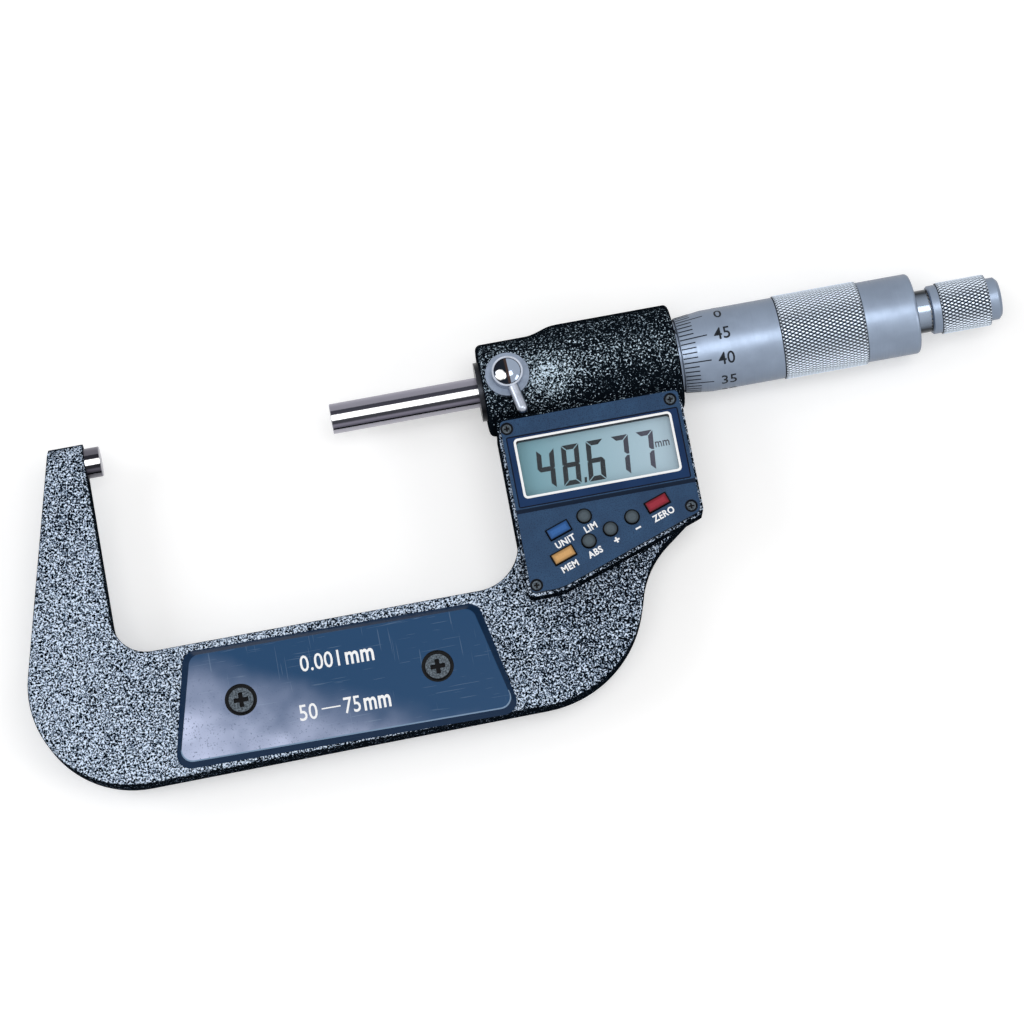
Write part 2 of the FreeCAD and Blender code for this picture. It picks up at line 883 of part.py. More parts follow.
def ratchet_spring():
    start = neck_end + seat_gap / 2 + clutch_length + spring_wire
    length = knob_floor - spring_wire - start
    helix = Part.makeHelix(length / spring_turns, length, spring_radius)
    near = spring_radius - spring_wire
    far = spring_radius + spring_wire
    section = Part.makePolygon([
        vec(near, 0, -spring_wire),
        vec(far, 0, -spring_wire),
        vec(far, 0, spring_wire),
        vec(near, 0, spring_wire),
        vec(near, 0, -spring_wire),
    ])
    wire = Part.Wire(helix.Edges).makePipeShell([section], True, True)
    wire.rotate(vec(0, 0), vec(0, 1, 0), 90)
    wire.translate(vec(start, 0))
    return wire


def ratchet_knob():
    knurl_x = knob_start + knob_collar_length
    body = turned([
        (knob_start, 0, 0),
        (knob_start, knob_collar_radius, knurl_chamfer),
        (knurl_x, knob_collar_radius, 0),
        (knurl_x, knob_knurl_radius - knurl_chamfer, 0),
        (knurl_x + knurl_chamfer, knob_knurl_radius, 0),
        (knob_tip_start - knurl_chamfer, knob_knurl_radius, 0),
        (knob_tip_start, knob_knurl_radius - knurl_chamfer, 0),
        (knob_tip_start, knob_tip_radius, 0),
        (knob_end - knob_tip_chamfer, knob_tip_radius, 0),
        (knob_end, knob_tip_radius - knob_tip_chamfer, 0),
        (knob_end, 0, 0),
    ])
    half = clutch_key_width / 2 + sliding_gap
    slot = block(knob_start, knob_floor, 0, knob_bore_radius + clutch_key_height, -half, half)
    return body.cut([
        cylinder_x(knob_start, knob_floor, knob_bore_radius),
        cylinder_x(knob_start, knob_end, axle_radius + sliding_gap),
        cylinder_x(knob_floor + knob_web, knob_end, knob_recess_radius),
        slot,
    ])


def ratchet_end_screw():
    seat = knob_floor + knob_web
    head = cylinder_x(seat + seat_gap, seat + seat_gap + end_screw_height, end_screw_head)
    neck = cylinder_x(seat, seat + seat_gap, axle_radius)
    shank = cylinder_x(seat - end_screw_length, seat + seat_gap, end_screw_shank)
    half = lock_slot_width / 2
    slot_x = seat + seat_gap + end_screw_height - lock_slot_depth
    slot = block(slot_x, slot_x + 2, -end_screw_head, end_screw_head, -half, half)
    return join([head, neck, shank]).cut(slot)


# Display panel, window, electronics

def lens_corners(margin, radius):
    left = panel_left + lens_inset - margin
    right = panel_right - lens_inset + margin
    return box_corners(left, right, lens_top - lens_height - margin, lens_top + margin, radius)


def button_places():
    """Centre and kind of each button, along two rows that follow the slope of the panel."""
    x0 = (panel_left + panel_right) / 2 + button_row_shift
    y0 = panel_bottom + (x0 - chin_place) * slope_run + button_row_rise
    along = polar(0, 0, panel_slope, 1)
    places = []

    def add(name, kind, distance, rise):
        x = x0 + distance * along[0]
        y = y0 + distance * along[1] + rise
        places.append((name, kind, x, y))

    add("mode_button", "round", -button_pitch, 0)
    add("plus_button", "round", 0, 0)
    add("minus_button", "round", button_pitch, 0)
    add("hold_button", "bar", -button_pitch - button_end_pitch, 0)
    add("zero_button", "bar", button_pitch + button_end_pitch, 0)
    add("limit_button", "round", -button_pitch, button_second_row)
    add("unit_button", "bar", -button_pitch - button_end_pitch, button_second_row)
    return places


def button_prism(kind, x, y, grow, bottom, top):
    if kind == "round":
        return cylinder_z(x, y, bottom, top, round_button_radius + grow)
    length = bar_button_length / 2 + grow
    width = bar_button_width / 2 + grow
    bar = prism(box_corners(-length, length, -width, width, bar_button_corner), bottom, top)
    bar.rotate(vec(0, 0), vec(0, 0, 1), panel_slope)
    bar.translate(vec(x, y))
    return bar


def button(kind, x, y):
    top = lower_level + button_proud
    collar_top = housing_front - seat_gap / 2
    collar_base = collar_top - button_flange_height
    foot = board_top + mat_thickness + dome_height + button_travel + seat_gap / 2
    return join([
        button_prism(kind, x, y, 0, collar_base, top),
        button_prism(kind, x, y, button_flange, collar_base, collar_top),
        cylinder_z(x, y, foot, collar_base + button_flange_height / 2, button_foot_radius),
    ])


def screw_recess(x, y, radius, top):
    """Cross-shaped recess in the head of a screw at x, y."""
    reach = radius * recess_reach
    half = radius * recess_width / 2
    depth = radius * recess_depth / 2
    return [
        block(x - reach, x + reach, y - half, y + half, top - depth, top + 1),
        block(x - half, x + half, y - reach, y + reach, top - depth, top + 1),
    ]


def display_panel():
    slab = prism(housing_corners(0, 0, panel_top), housing_front, upper_level)
    step = panel_step_y
    shelf = Part.makePolygon([
        vec(panel_left - 1, step + panel_step_run, upper_level),
        vec(panel_left - 1, step, lower_level),
        vec(panel_left - 1, panel_bottom - 1, lower_level),
        vec(panel_left - 1, panel_bottom - 1, upper_level + 1),
        vec(panel_left - 1, step + panel_step_run, upper_level + 1),
        vec(panel_left - 1, step + panel_step_run, upper_level),
    ])
    shelf = Part.Face(shelf).extrude(vec(panel_right - panel_left + 2, 0))
    left = panel_left + window_inset
    cuts = [
        shelf,
        prism(lens_corners(seat_gap / 2, lens_corner), upper_level - lens_thickness - lens_sunk,
              upper_level + 1),
        prism(box_corners(left, left + window_width, window_top - window_height, window_top,
                          window_corner), housing_front - 1, upper_level + 1),
    ]
    for _, kind, x, y in button_places():
        cuts.append(button_prism(kind, x, y, button_gap, housing_front - 1, upper_level + 1))
    for x, y, level in panel_screw_places():
        cuts.append(cylinder_z(x, y, level - panel_screw_recess_depth, upper_level + 1, panel_screw_recess))
        cuts.append(cylinder_z(x, y, housing_front - 1, upper_level, panel_screw_shank + seat_gap / 2))
    return slab.cut(cuts)


def panel_screws():
    screws = []
    for x, y, level in panel_screw_places():
        seat = level - panel_screw_recess_depth
        top = seat + panel_screw_head_height
        screw = join([
            cylinder_z(x, y, seat, top, panel_screw_head),
            cylinder_z(x, y, housing_front - panel_screw_length + seat_gap, seat, panel_screw_shank),
        ])
        screws.append(screw.cut(screw_recess(x, y, panel_screw_head, top)))
    return Part.makeCompound(screws)


def display_lens():
    top = upper_level - lens_sunk
    return prism(lens_corners(0, lens_corner), top - lens_thickness, top)


def glass_box():
    left = panel_left + window_inset - glass_overlap
    bottom = window_top - window_height - glass_ledge
    return left, left + window_width + 2 * glass_overlap, bottom, window_top + glass_overlap


def lcd_glass():
    x0, x1, y0, y1 = glass_box()
    top = housing_front - glass_drop
    step = y0 + glass_ledge - glass_overlap
    sheet = block(x0, x1, y0, y1, top - glass_thickness, top)
    return sheet.cut(block(x0, x1, y0, step, top - glass_thickness / 2, top))


def connector_box(grow):
    x0, x1, y0, y1 = glass_box()
    middle = (x0 + x1) / 2
    half = window_width / 2 - connector_inset + grow
    start = y0 + seat_gap
    return middle - half, middle + half, start - grow, start + connector_width + grow


def lcd_connector():
    top = housing_front - glass_drop - glass_thickness
    return block(*connector_box(0), board_top, top)


def lcd_holder():
    x0, x1, y0, y1 = glass_box()
    rim = holder_rim
    seat = housing_front - glass_drop - glass_thickness
    outline = box_corners(x0 - rim, x1 + rim, y0 - rim, y1 + rim, holder_corner)
    tray = prism(outline, board_top, seat + holder_rim_height)
    hollow = block(x0 + holder_wall, x1 - holder_wall, y0 + 2 * holder_wall, y1 - holder_wall,
                   board_top, seat)
    nest = block(x0, x1, y0, y1, seat, seat + 2 * holder_rim_height)
    slot = block(*connector_box(seat_gap / 2), board_top, seat)
    return tray.cut([hollow, nest, slot])


def circuit_board():
    return pocket(board_gap, board_level, board_top)


def keypad_mat():
    """Rubber mat with one dome below each button, on the lower part of the board."""
    margin = dome_radius + holder_wall
    places = button_places()
    top_y = glass_box()[2] - holder_rim - seat_gap
    sheet = pocket(board_gap + holder_wall, board_top, board_top + mat_thickness)
    left = min(place[2] for place in places) - margin
    right = max(place[2] for place in places) + margin
    sheet = sheet.common(block(left, right, 2 * panel_bottom, top_y, board_top, board_top + mat_thickness))
    parts = [sheet]
    for _, _, x, y in places:
        parts.append(Part.makeCone(dome_radius, dome_radius / 2, dome_height,
                                   vec(x, y, board_top + mat_thickness)))
    return join(parts)


# Battery, its holder, contact and cap

def battery():
    bottom = floor_level + seat_gap
    can = cylinder_z(cell_x, battery_y, bottom, bottom + battery_height * 0.8, battery_radius)
    button_end = cylinder_z(cell_x, battery_y, bottom, bottom + battery_height, battery_radius * 0.85)
    return join([can, button_end])


def battery_holder():
    inner = battery_radius + battery_gap
    bottom = floor_level + holder_start
    ring = cylinder_z(cell_x, battery_y, bottom, board_level, inner + holder_ring)
    return ring.cut(cylinder_z(cell_x, battery_y, bottom, board_level, inner))


def battery_contact():
    """Bent strip from the board down to the top of the battery."""
    low = floor_level + seat_gap + battery_height
    half = contact_reach / 2
    thick = contact_thickness
    profile = [
        vec(cell_x - half, battery_y, board_level - thick),
        vec(cell_x - half + thick, battery_y, board_level - thick),
        vec(cell_x, battery_y, low + thick),
        vec(cell_x + half - thick, battery_y, board_level - thick),
        vec(cell_x + half, battery_y, board_level - thick),
        vec(cell_x + half, battery_y, board_level),
        vec(cell_x + half - thick, battery_y, board_level),
        vec(cell_x, battery_y, low + 2 * thick),
        vec(cell_x - half + thick, battery_y, board_level),
        vec(cell_x - half, battery_y, board_level),
    ]
    face = Part.Face(Part.makePolygon(profile + profile[:1]))
    strip = face.extrude(vec(0, contact_width))
    strip.translate(vec(0, -contact_width / 2))
    return strip


def battery_cap():
    back = -housing_back
    head = cylinder_z(cell_x, battery_y, back, back + cap_thickness, cap_radius)
    lug_top = floor_level + seat_gap + cap_lug_height
    spigot = cylinder_z(cell_x, battery_y, back, floor_level, cap_spigot_radius)
    reach = cap_spigot_radius + cap_lug_reach
    half = cap_lug_width / 2
    lugs = block(cell_x - half, cell_x + half, battery_y - reach, battery_y + reach,
                 floor_level + seat_gap, lug_top)
    lugs = lugs.common(cylinder_z(cell_x, battery_y, back, lug_top, reach))
    skirt = cylinder_z(cell_x, battery_y, floor_level, lug_top, cap_spigot_radius)
    well = cylinder_z(cell_x, battery_y, floor_level, lug_top, battery_radius + battery_gap)
    half = cap_slot_width / 2
    slot = block(cell_x - cap_slot_length / 2, cell_x + cap_slot_length / 2, battery_y - half,
                 battery_y + half, back - 1, back + cap_slot_depth)
    return join([head, spigot, skirt, lugs]).cut([slot, well])


def battery_cap_seal():
    seat = -housing_back + cap_thickness
    outer = cap_spigot_radius + seal_width
    ring = cylinder_z(cell_x, battery_y, seat, seat + seal_thickness, outer)
    return ring.cut(cylinder_z(cell_x, battery_y, seat, seat + seal_thickness, cap_spigot_radius))


# Insulating plate

def plate_corners(inset):
    half_top = plate_top_width / 2 - inset
    half_bottom = plate_bottom_width / 2 - inset
    half_height = plate_height / 2 - inset
    radius = plate_corner - inset / 2
    spots = [(-half_top, half_height), (half_top, half_height),
             (half_bottom, -half_height), (-half_bottom, -half_height)]
    return [plate_point(*spot) + (radius,) for spot in spots]


def insulating_plate():
    top = half_web + plate_thickness
    slab = frustum(plate_corners(0), half_web, plate_corners(plate_bevel), top)
    cuts = []
    for x, y in plate_screw_places():
        cuts.append(cylinder_z(x, y, top - plate_screw_recess_depth, top + 1, plate_screw_recess))
        cuts.append(cylinder_z(x, y, half_web - 1, top, plate_screw_shank + seat_gap))
    return slab.cut(cuts)


def insulating_plate_screws():
    screws = []
    seat = half_web + plate_thickness - plate_screw_recess_depth
    top = seat + plate_screw_head_height
    for x, y in plate_screw_places():
        screw = join([
            cylinder_z(x, y, seat, top, plate_screw_head),
            cylinder_z(x, y, half_web - plate_screw_length + seat_gap, seat, plate_screw_shank),
        ])
        screws.append(screw.cut(screw_recess(x, y, plate_screw_head, top)))
    return Part.makeCompound(screws)


nodes = {
    "frame": frame(),
    "anvil": anvil(),
    "anvil_tip": anvil_tip(),
    "guide_bush": guide_bush(),
    "inner_sleeve": inner_sleeve(),
    "graduated_sleeve": graduated_sleeve(),
    "adjusting_nut": adjusting_nut(),
    "stator_spacer": stator_spacer(),
    "encoder_stator": encoder_stator(),
    "encoder_tail": encoder_tail(),
    "rotor_washer": rotor_washer(),
    "rotor_bush": rotor_bush(),
    "encoder_rotor": encoder_rotor(),
    "rotor_key": rotor_key(),
    "spindle": spindle(),
    "spindle_tip": spindle_tip(),
    "thimble": thimble(),
    "ratchet_shaft": ratchet_shaft(),
    "ratchet_clutch": ratchet_clutch(),
    "ratchet_spring": ratchet_spring(),
    "ratchet_knob": ratchet_knob(),
    "ratchet_end_screw": ratchet_end_screw(),
    "lock_bush": lock_bush(),
    "lock_pad": lock_pad(),
    "lock_stud": lock_stud(),
    "lock_lever": lock_lever(),
    "lock_cap_screw": lock_cap_screw(),
    "display_panel": display_panel(),
    "panel_screws": panel_screws(),
    "display_lens": display_lens(),
    "lcd_glass": lcd_glass(),
    "lcd_connector": lcd_connector(),
    "lcd_holder": lcd_holder(),
    "circuit_board": circuit_board(),
    "keypad_mat": keypad_mat(),
    "battery": battery(),
    "battery_holder": battery_holder(),
    "battery_contact": battery_contact(),
    "battery_cap": battery_cap(),
    "battery_cap_seal": battery_cap_seal(),
    "insulating_plate": insulating_plate(),
    "insulating_plate_screws": insulating_plate_screws(),
}
for name, kind, x, y in button_places():
    nodes[name] = button(kind, x, y)

os.makedirs("parts", exist_ok=True)
for name, shape in nodes.items():
    shape.exportStep("parts/" + name + ".step")
    print(name, len(shape.Solids), round(shape.Volume, 3), shape.isValid())
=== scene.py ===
import json
import math

import bmesh
import bpy
from mathutils import Matrix, Vector


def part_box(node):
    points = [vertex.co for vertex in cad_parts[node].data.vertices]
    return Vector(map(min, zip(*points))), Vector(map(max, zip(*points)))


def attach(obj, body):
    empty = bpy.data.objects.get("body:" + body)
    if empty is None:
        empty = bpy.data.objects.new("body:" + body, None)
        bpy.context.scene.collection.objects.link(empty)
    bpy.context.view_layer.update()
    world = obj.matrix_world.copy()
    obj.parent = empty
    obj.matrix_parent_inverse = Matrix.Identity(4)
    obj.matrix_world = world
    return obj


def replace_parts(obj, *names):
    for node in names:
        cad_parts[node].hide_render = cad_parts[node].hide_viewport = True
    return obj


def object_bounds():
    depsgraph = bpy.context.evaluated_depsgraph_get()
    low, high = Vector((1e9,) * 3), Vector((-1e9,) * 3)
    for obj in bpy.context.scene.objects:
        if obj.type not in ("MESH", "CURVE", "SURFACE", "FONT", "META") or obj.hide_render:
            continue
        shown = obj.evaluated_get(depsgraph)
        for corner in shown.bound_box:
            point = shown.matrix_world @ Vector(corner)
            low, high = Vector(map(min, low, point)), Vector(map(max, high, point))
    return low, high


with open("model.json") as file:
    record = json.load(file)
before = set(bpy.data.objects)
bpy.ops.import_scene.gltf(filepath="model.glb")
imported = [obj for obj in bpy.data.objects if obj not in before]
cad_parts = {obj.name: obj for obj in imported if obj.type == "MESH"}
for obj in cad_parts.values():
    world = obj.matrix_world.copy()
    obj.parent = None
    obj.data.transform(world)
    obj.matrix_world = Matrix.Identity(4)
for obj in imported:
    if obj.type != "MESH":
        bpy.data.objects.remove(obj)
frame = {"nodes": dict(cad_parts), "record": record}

# Digital outside micrometer: finishes, graduations, knurls, display and light.
# Sizes are in millimetres unless a name says otherwise; meshes are made in metres.

MM = 0.001
cad_low, cad_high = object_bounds()
nodes = frame["nodes"]


def size_of(node):
    """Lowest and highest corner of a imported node, in millimetres."""
    low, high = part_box(node)
    return low / MM, high / MM


def centre_of(node):
    """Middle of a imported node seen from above, in millimetres."""
    low, high = size_of(node)
    return (low.x + high.x) / 2, (low.y + high.y) / 2


# Camera

camera_place = (55.0, -210.0, 800.0)
camera_turn = (12.86846, -2.04960, -10.39040)
camera_lens = 135.36

camera = bpy.data.objects.new("camera", bpy.data.cameras.new("camera"))
camera.data.lens = camera_lens
camera.data.sensor_width = 36.0
camera.data.clip_start = 0.05
turn = [math.radians(angle) for angle in camera_turn]
camera.matrix_world = (
    Matrix.Translation(Vector(camera_place) * MM)
    @ Matrix.Rotation(turn[0], 4, "X")
    @ Matrix.Rotation(turn[1], 4, "Y")
    @ Matrix.Rotation(turn[2], 4, "Z")
)
bpy.context.scene.collection.objects.link(camera)
bpy.context.scene.camera = camera
bpy.context.scene.view_settings.view_transform = "Standard"


# Light, floor and surroundings

def area_light(name, place, target, width, height, power, colour=(1, 1, 1)):
    lamp = bpy.data.lights.new(name, "AREA")
    lamp.shape = "RECTANGLE"
    lamp.size = width * MM
    lamp.size_y = height * MM
    lamp.energy = power
    lamp.color = colour
    light = bpy.data.objects.new(name, lamp)
    light.location = Vector(place) * MM
    way = Vector(target) - Vector(place)
    light.rotation_euler = way.to_track_quat("-Z", "Y").to_euler()
    bpy.context.scene.collection.objects.link(light)


middle = (85.0, -25.0, 0.0)
floor_gap = 0.05
area_light("overhead", (110, -110, 900), middle, 800, 340, 2.9)
area_light("left", (-700, 150, 650), middle, 450, 450, 2.0, (0.95, 0.97, 1.0))
area_light("right", (850, -450, 600), middle, 400, 400, 1.6, (1.0, 0.98, 0.96))


def seen_directly(tree):
    """One for camera, glossy and transmitted rays, and nothing for the rest."""
    path = tree.nodes.new("ShaderNodeLightPath")
    total = path.outputs["Is Camera Ray"]
    for name in ("Is Glossy Ray", "Is Transmission Ray"):
        step = tree.nodes.new("ShaderNodeMath")
        step.operation = "MAXIMUM"
        tree.links.new(total, step.inputs[0])
        tree.links.new(path.outputs[name], step.inputs[1])
        total = step.outputs[0]
    return total


def surroundings(light_level):
    world = bpy.data.worlds.new("studio")
    world.use_nodes = True
    tree = world.node_tree
    background = tree.nodes["Background"]
    background.inputs["Color"].default_value = (1, 1, 1, 1)
    level = tree.nodes.new("ShaderNodeMapRange")
    level.inputs["To Min"].default_value = light_level
    level.inputs["To Max"].default_value = 1.0
    tree.links.new(seen_directly(tree), level.inputs["Value"])
    tree.links.new(level.outputs[0], background.inputs["Strength"])
    bpy.context.scene.world = world


def floor(radius, shade, lift):
    """Round pale floor under the lowest point of the part, lifted to white for the eye."""
    mesh = bpy.data.meshes.new("floor")
    net = bmesh.new()
    bmesh.ops.create_circle(net, cap_ends=True, radius=radius * MM, segments=96)
    net.to_mesh(mesh)
    net.free()
    disc = bpy.data.objects.new("floor", mesh)
    disc.location = (middle[0] * MM, middle[1] * MM, cad_low[2] - floor_gap * MM)
    material = bpy.data.materials.new("floor")
    material.use_nodes = True
    tree = material.node_tree
    shader = tree.nodes["Principled BSDF"]
    shader.inputs["Base Color"].default_value = (shade, shade, shade, 1)
    shader.inputs["Roughness"].default_value = 0.9
    shader.inputs["Specular IOR Level"].default_value = 0.1
    shader.inputs["Emission Color"].default_value = (1, 1, 1, 1)
    level = tree.nodes.new("ShaderNodeMath")
    level.operation = "MULTIPLY"
    level.inputs[1].default_value = lift
    tree.links.new(seen_directly(tree), level.inputs[0])
    tree.links.new(level.outputs[0], shader.inputs["Emission Strength"])
    mesh.materials.append(material)
    bpy.context.scene.collection.objects.link(disc)


surroundings(0.45)
floor(2500, 0.86, 0.3)


# Levels and places on the panel and on the insulating plate

upper_level = size_of("display_panel")[1].z
panel_step = 0.8
lower_level = upper_level - panel_step
step_y = -30.2
step_run = 0.7
plate_top = size_of("insulating_plate")[1].z
cap_slot_turn = 92.0
window_edges = (87.3, 120.75, -27.2, -14.45)
window_line_edges = (87.05, 121.0, -27.40, -14.20)


def screw_places(node, rows):
    """Centres of the like screws that make up a node, two to a row."""
    low, high = size_of(node)
    half = (low + high) / 2
    groups = {}
    for vertex in nodes[node].data.vertices:
        point = vertex.co / MM
        upper = rows == 2 and point.y > half.y
        groups.setdefault((point.x > half.x, upper), []).append(point)
    places = []
    for points in groups.values():
        x = [point.x for point in points]
        y = [point.y for point in points]
        places.append(((min(x) + max(x)) / 2, (min(y) + max(y)) / 2))
    return sorted(places)


panel_screws = screw_places("panel_screws", 2)
plate_screws = screw_places("insulating_plate_screws", 1)


# Buttons, whose bars follow the slope of the panel

panel_slope = 19.0
round_radius = 1.45
bar_half_length = 2.45
bar_half_width = 1.15
round_buttons = ("mode_button", "plus_button", "minus_button", "limit_button")
bar_buttons = ("hold_button", "zero_button", "unit_button")


# Knurled bands, whose diamonds are two steps long and two steps wide

thimble_low, thimble_high = size_of("thimble")
edge_x = thimble_low.x
end_x = thimble_high.x
band_start = edge_x + 21.9
band_end = band_start + 18.0
band_radius = thimble_high.z
band_steps = (24, 144)

knob_low, knob_high = size_of("ratchet_knob")
grip_start = knob_low.x + 2.1
grip_end = grip_start + 10.6
grip_radius = knob_high.z
grip_steps = (14, 90)

knurl_depth = 0.3
along_samples = 4
around_samples = 3


# Materials

# Most values of a noise lie between these two
noise_low = 0.3
noise_high = 0.7


def shaded(colour, share):
    return tuple(share * part for part in colour)


class Finish:
    """One material around a Principled shader, with short calls for the textures that feed it."""

    def __init__(self, name, **settings):
        self.material = bpy.data.materials.new(name)
        self.material.use_nodes = True
        self.tree = self.material.node_tree
        self.shader = self.tree.nodes["Principled BSDF"]
        coordinates = self.tree.nodes.new("ShaderNodeTexCoord")
        self.place = coordinates.outputs["Object"]
        self.normal = coordinates.outputs["Normal"]
        for socket, value in settings.items():
            self.set(socket.replace("_", " "), value)

    def set(self, socket, value):
        self.feed(self.shader.inputs[socket], value)

    def feed(self, socket, value):
        if isinstance(value, bpy.types.NodeSocket):
            self.tree.links.new(value, socket)
        elif isinstance(value, tuple) and len(value) == 3 and socket.type == "RGBA":
            socket.default_value = (*value, 1)
        else:
            socket.default_value = value

    def node(self, kind, output=0, **inputs):
        made = self.tree.nodes.new(kind)
        for name, value in inputs.items():
            self.feed(made.inputs[name.replace("_", " ")], value)
        return made.outputs[output]

    def stretched(self, x, y, z, turn=0.0):
        return self.node("ShaderNodeMapping", Vector=self.place, Scale=(x, y, z),
                         Rotation=(0, 0, math.radians(turn)))

    def noise(self, size, detail, distortion=0.0, place=None):
        """Noise whose features are about this many millimetres."""
        return self.node("ShaderNodeTexNoise", Vector=place or self.place, Scale=1 / (size * MM),
                         Detail=detail, Distortion=distortion)

    def math(self, operation, first, second=0.0):
        made = self.tree.nodes.new("ShaderNodeMath")
        made.operation = operation
        self.feed(made.inputs[0], first)
        self.feed(made.inputs[1], second)
        return made.outputs[0]

    def ramp(self, value, start, end, low=0.0, high=1.0):
        return self.node("ShaderNodeMapRange", Value=value, From_Min=start, From_Max=end,
                         To_Min=low, To_Max=high)

    def blend(self, share, first, second):
        made = self.tree.nodes.new("ShaderNodeMixRGB")
        self.feed(made.inputs["Fac"], share)
        self.feed(made.inputs["Color1"], first)
        self.feed(made.inputs["Color2"], second)
        return made.outputs[0]

    def total(self, first, *others):
        for other in others:
            first = self.math("ADD", first, other)
        return first

    def product(self, first, *others):
        for other in others:
            first = self.math("MULTIPLY", first, other)
        return first

    def part_of(self, vector, name):
        """One coordinate of a vector."""
        return self.node("ShaderNodeSeparateXYZ", "XYZ".index(name), Vector=vector)

    def axis(self, name):
        """One coordinate of the surface point, in metres like all places in a shader."""
        return self.part_of(self.place, name)

    def rise(self, value, start, end, low=0.0, high=1.0):
        """Ramp between two places in millimetres."""
        return self.ramp(value, start * MM, end * MM, low, high)

    def waver(self, noise, reach):
        """A noise spread evenly to both sides of nothing."""
        return self.ramp(noise, noise_low, noise_high, -reach, reach)

    def rough(self, noise, low, high):
        """Roughness that follows a noise."""
        self.set("Roughness", self.ramp(noise, noise_low, noise_high, low, high))

    def below(self, value, place):
        """One where a value is less than a place in millimetres."""
        return self.math("LESS_THAN", value, place * MM)

    def above(self, value, place):
        return self.math("GREATER_THAN", value, place * MM)

    def between(self, value, low, high):
        return self.product(self.above(value, low), self.below(value, high))

    def away(self, x=0.0, y=0.0, z=0.0, weights=(1, 1, 1)):
        """Distance from a point in millimetres, along the axes that have a weight."""
        made = self.tree.nodes.new("ShaderNodeVectorMath")
        made.operation = "MULTIPLY_ADD"
        self.feed(made.inputs[0], self.place)
        made.inputs[1].default_value = weights
        made.inputs[2].default_value = (-x * MM, -y * MM, -z * MM)
        size = self.tree.nodes.new("ShaderNodeVectorMath")
        size.operation = "LENGTH"
        self.feed(size.inputs[0], made.outputs[0])
        return size.outputs["Value"]

    def beside(self, x, y):
        """Distance from a point in millimetres as seen from above."""
        return self.away(x, y, 0.0, (1, 1, 0))

    def from_buttons(self):
        """Distance outside the nearest button's outline in metres, negative inside it."""
        nearest = 1.0
        for node in round_buttons:
            out = self.math("SUBTRACT", self.beside(*centre_of(node)), round_radius * MM)
            nearest = self.math("MINIMUM", nearest, out)
        for node in bar_buttons:
            x, y = centre_of(node)
            spot = self.node("ShaderNodeMapping", Vector=self.place, Location=(x * MM, y * MM, 0),
                             Rotation=(0, 0, math.radians(panel_slope)))
            spot.node.vector_type = "TEXTURE"
            along = self.math("ABSOLUTE", self.part_of(spot, "X"))
            across = self.math("ABSOLUTE", self.part_of(spot, "Y"))
            out = self.math("MAXIMUM", self.math("SUBTRACT", along, bar_half_length * MM),
                            self.math("SUBTRACT", across, bar_half_width * MM))
            nearest = self.math("MINIMUM", nearest, out)
        return nearest

    def square_to(self, name):
        """One on faces square to an axis of the part, nothing on faces along it."""
        return self.math("ABSOLUTE", self.part_of(self.normal, name))

    def turning_away(self, start, end):
        """Nothing where a face looks at the eye, one where it turns away from it."""
        facing = self.node("ShaderNodeLayerWeight", "Facing", Blend=0.5)
        return self.ramp(facing, start, end)

    def bump(self, height, distance, strength=1.0):
        """Relief whose full height is this many millimetres."""
        relief = self.node("ShaderNodeBump", Height=height, Distance=distance * MM, Strength=strength)
        self.set("Normal", relief)


def hammertone():
    """Black enamel broken into pale worms, its pattern with painted highlights; fewer worms to the
    right and on the arm, fewer under painted shade on the barrel and on side walls, more under a
    painted sheen on the barrel.
    """
    paint = Finish("hammertone", Specular_IOR_Level=0.0)
    worms = paint.noise(0.38, 1.0, 0.8)
    drift = paint.noise(14.0, 2.0)
    along = paint.axis("X")
    across = paint.axis("Y")
    # Each share added here leaves more of the enamel black
    enamel_share = 0.475
    on_barrel = paint.product(paint.rise(along, 82.5, 83.5), paint.rise(across, -12.5, -10.5))
    # Painted shade on the barrel: more black everywhere on it, most towards its top and its foot
    top_shadow = paint.rise(across, 0.0, 6.0, 0.028, 0.082)
    foot_shadow = paint.rise(across, -1.0, -7.0, 0.0, 0.085)
    barrel_shadow = paint.product(on_barrel, paint.total(top_shadow, foot_shadow))
    on_arm = paint.product(paint.rise(along, 14.0, 8.0), paint.rise(across, -45.0, 0.0, 0.0, 0.03))
    to_right = paint.rise(along, 70.0, 100.0, 0.0, 0.055)
    # Painted shade on side walls
    side_shade = paint.ramp(paint.square_to("Z"), 0.65, 0.25, 0.0, 0.20)
    black = paint.total(enamel_share, barrel_shadow, on_arm, to_right, side_shade,
                        paint.waver(drift, 0.012))
    # Painted sheen: a highlight on the barrel that leaves more pale worms
    painted_sheen = paint.rise(paint.beside(97.0, -2.5), 8.5, 2.0, 0.0, 0.10)
    over = paint.math("SUBTRACT", worms, paint.math("SUBTRACT", black, painted_sheen))
    # Pale worms: the enamel's pattern with painted highlights, brightest at their crests
    pale = paint.ramp(over, -0.01, 0.03)
    crest = paint.ramp(over, 0.03, 0.12)
    # Flecks dimmer on the barrel, as painted shade
    fleck = paint.blend(on_barrel, (0.20, 0.29, 0.43), (0.13, 0.19, 0.24))
    bright = paint.blend(on_barrel, (0.74, 0.85, 1.0), (0.66, 0.80, 0.92))
    fleck = paint.blend(crest, fleck, bright)
    paint.set("Base Color", paint.blend(pale, (0.003, 0.005, 0.008), fleck))
    paint.set("Roughness", paint.ramp(pale, 0.0, 1.0, 0.28, 0.42))
    paint.bump(pale, 0.05, 0.8)
    return paint.material


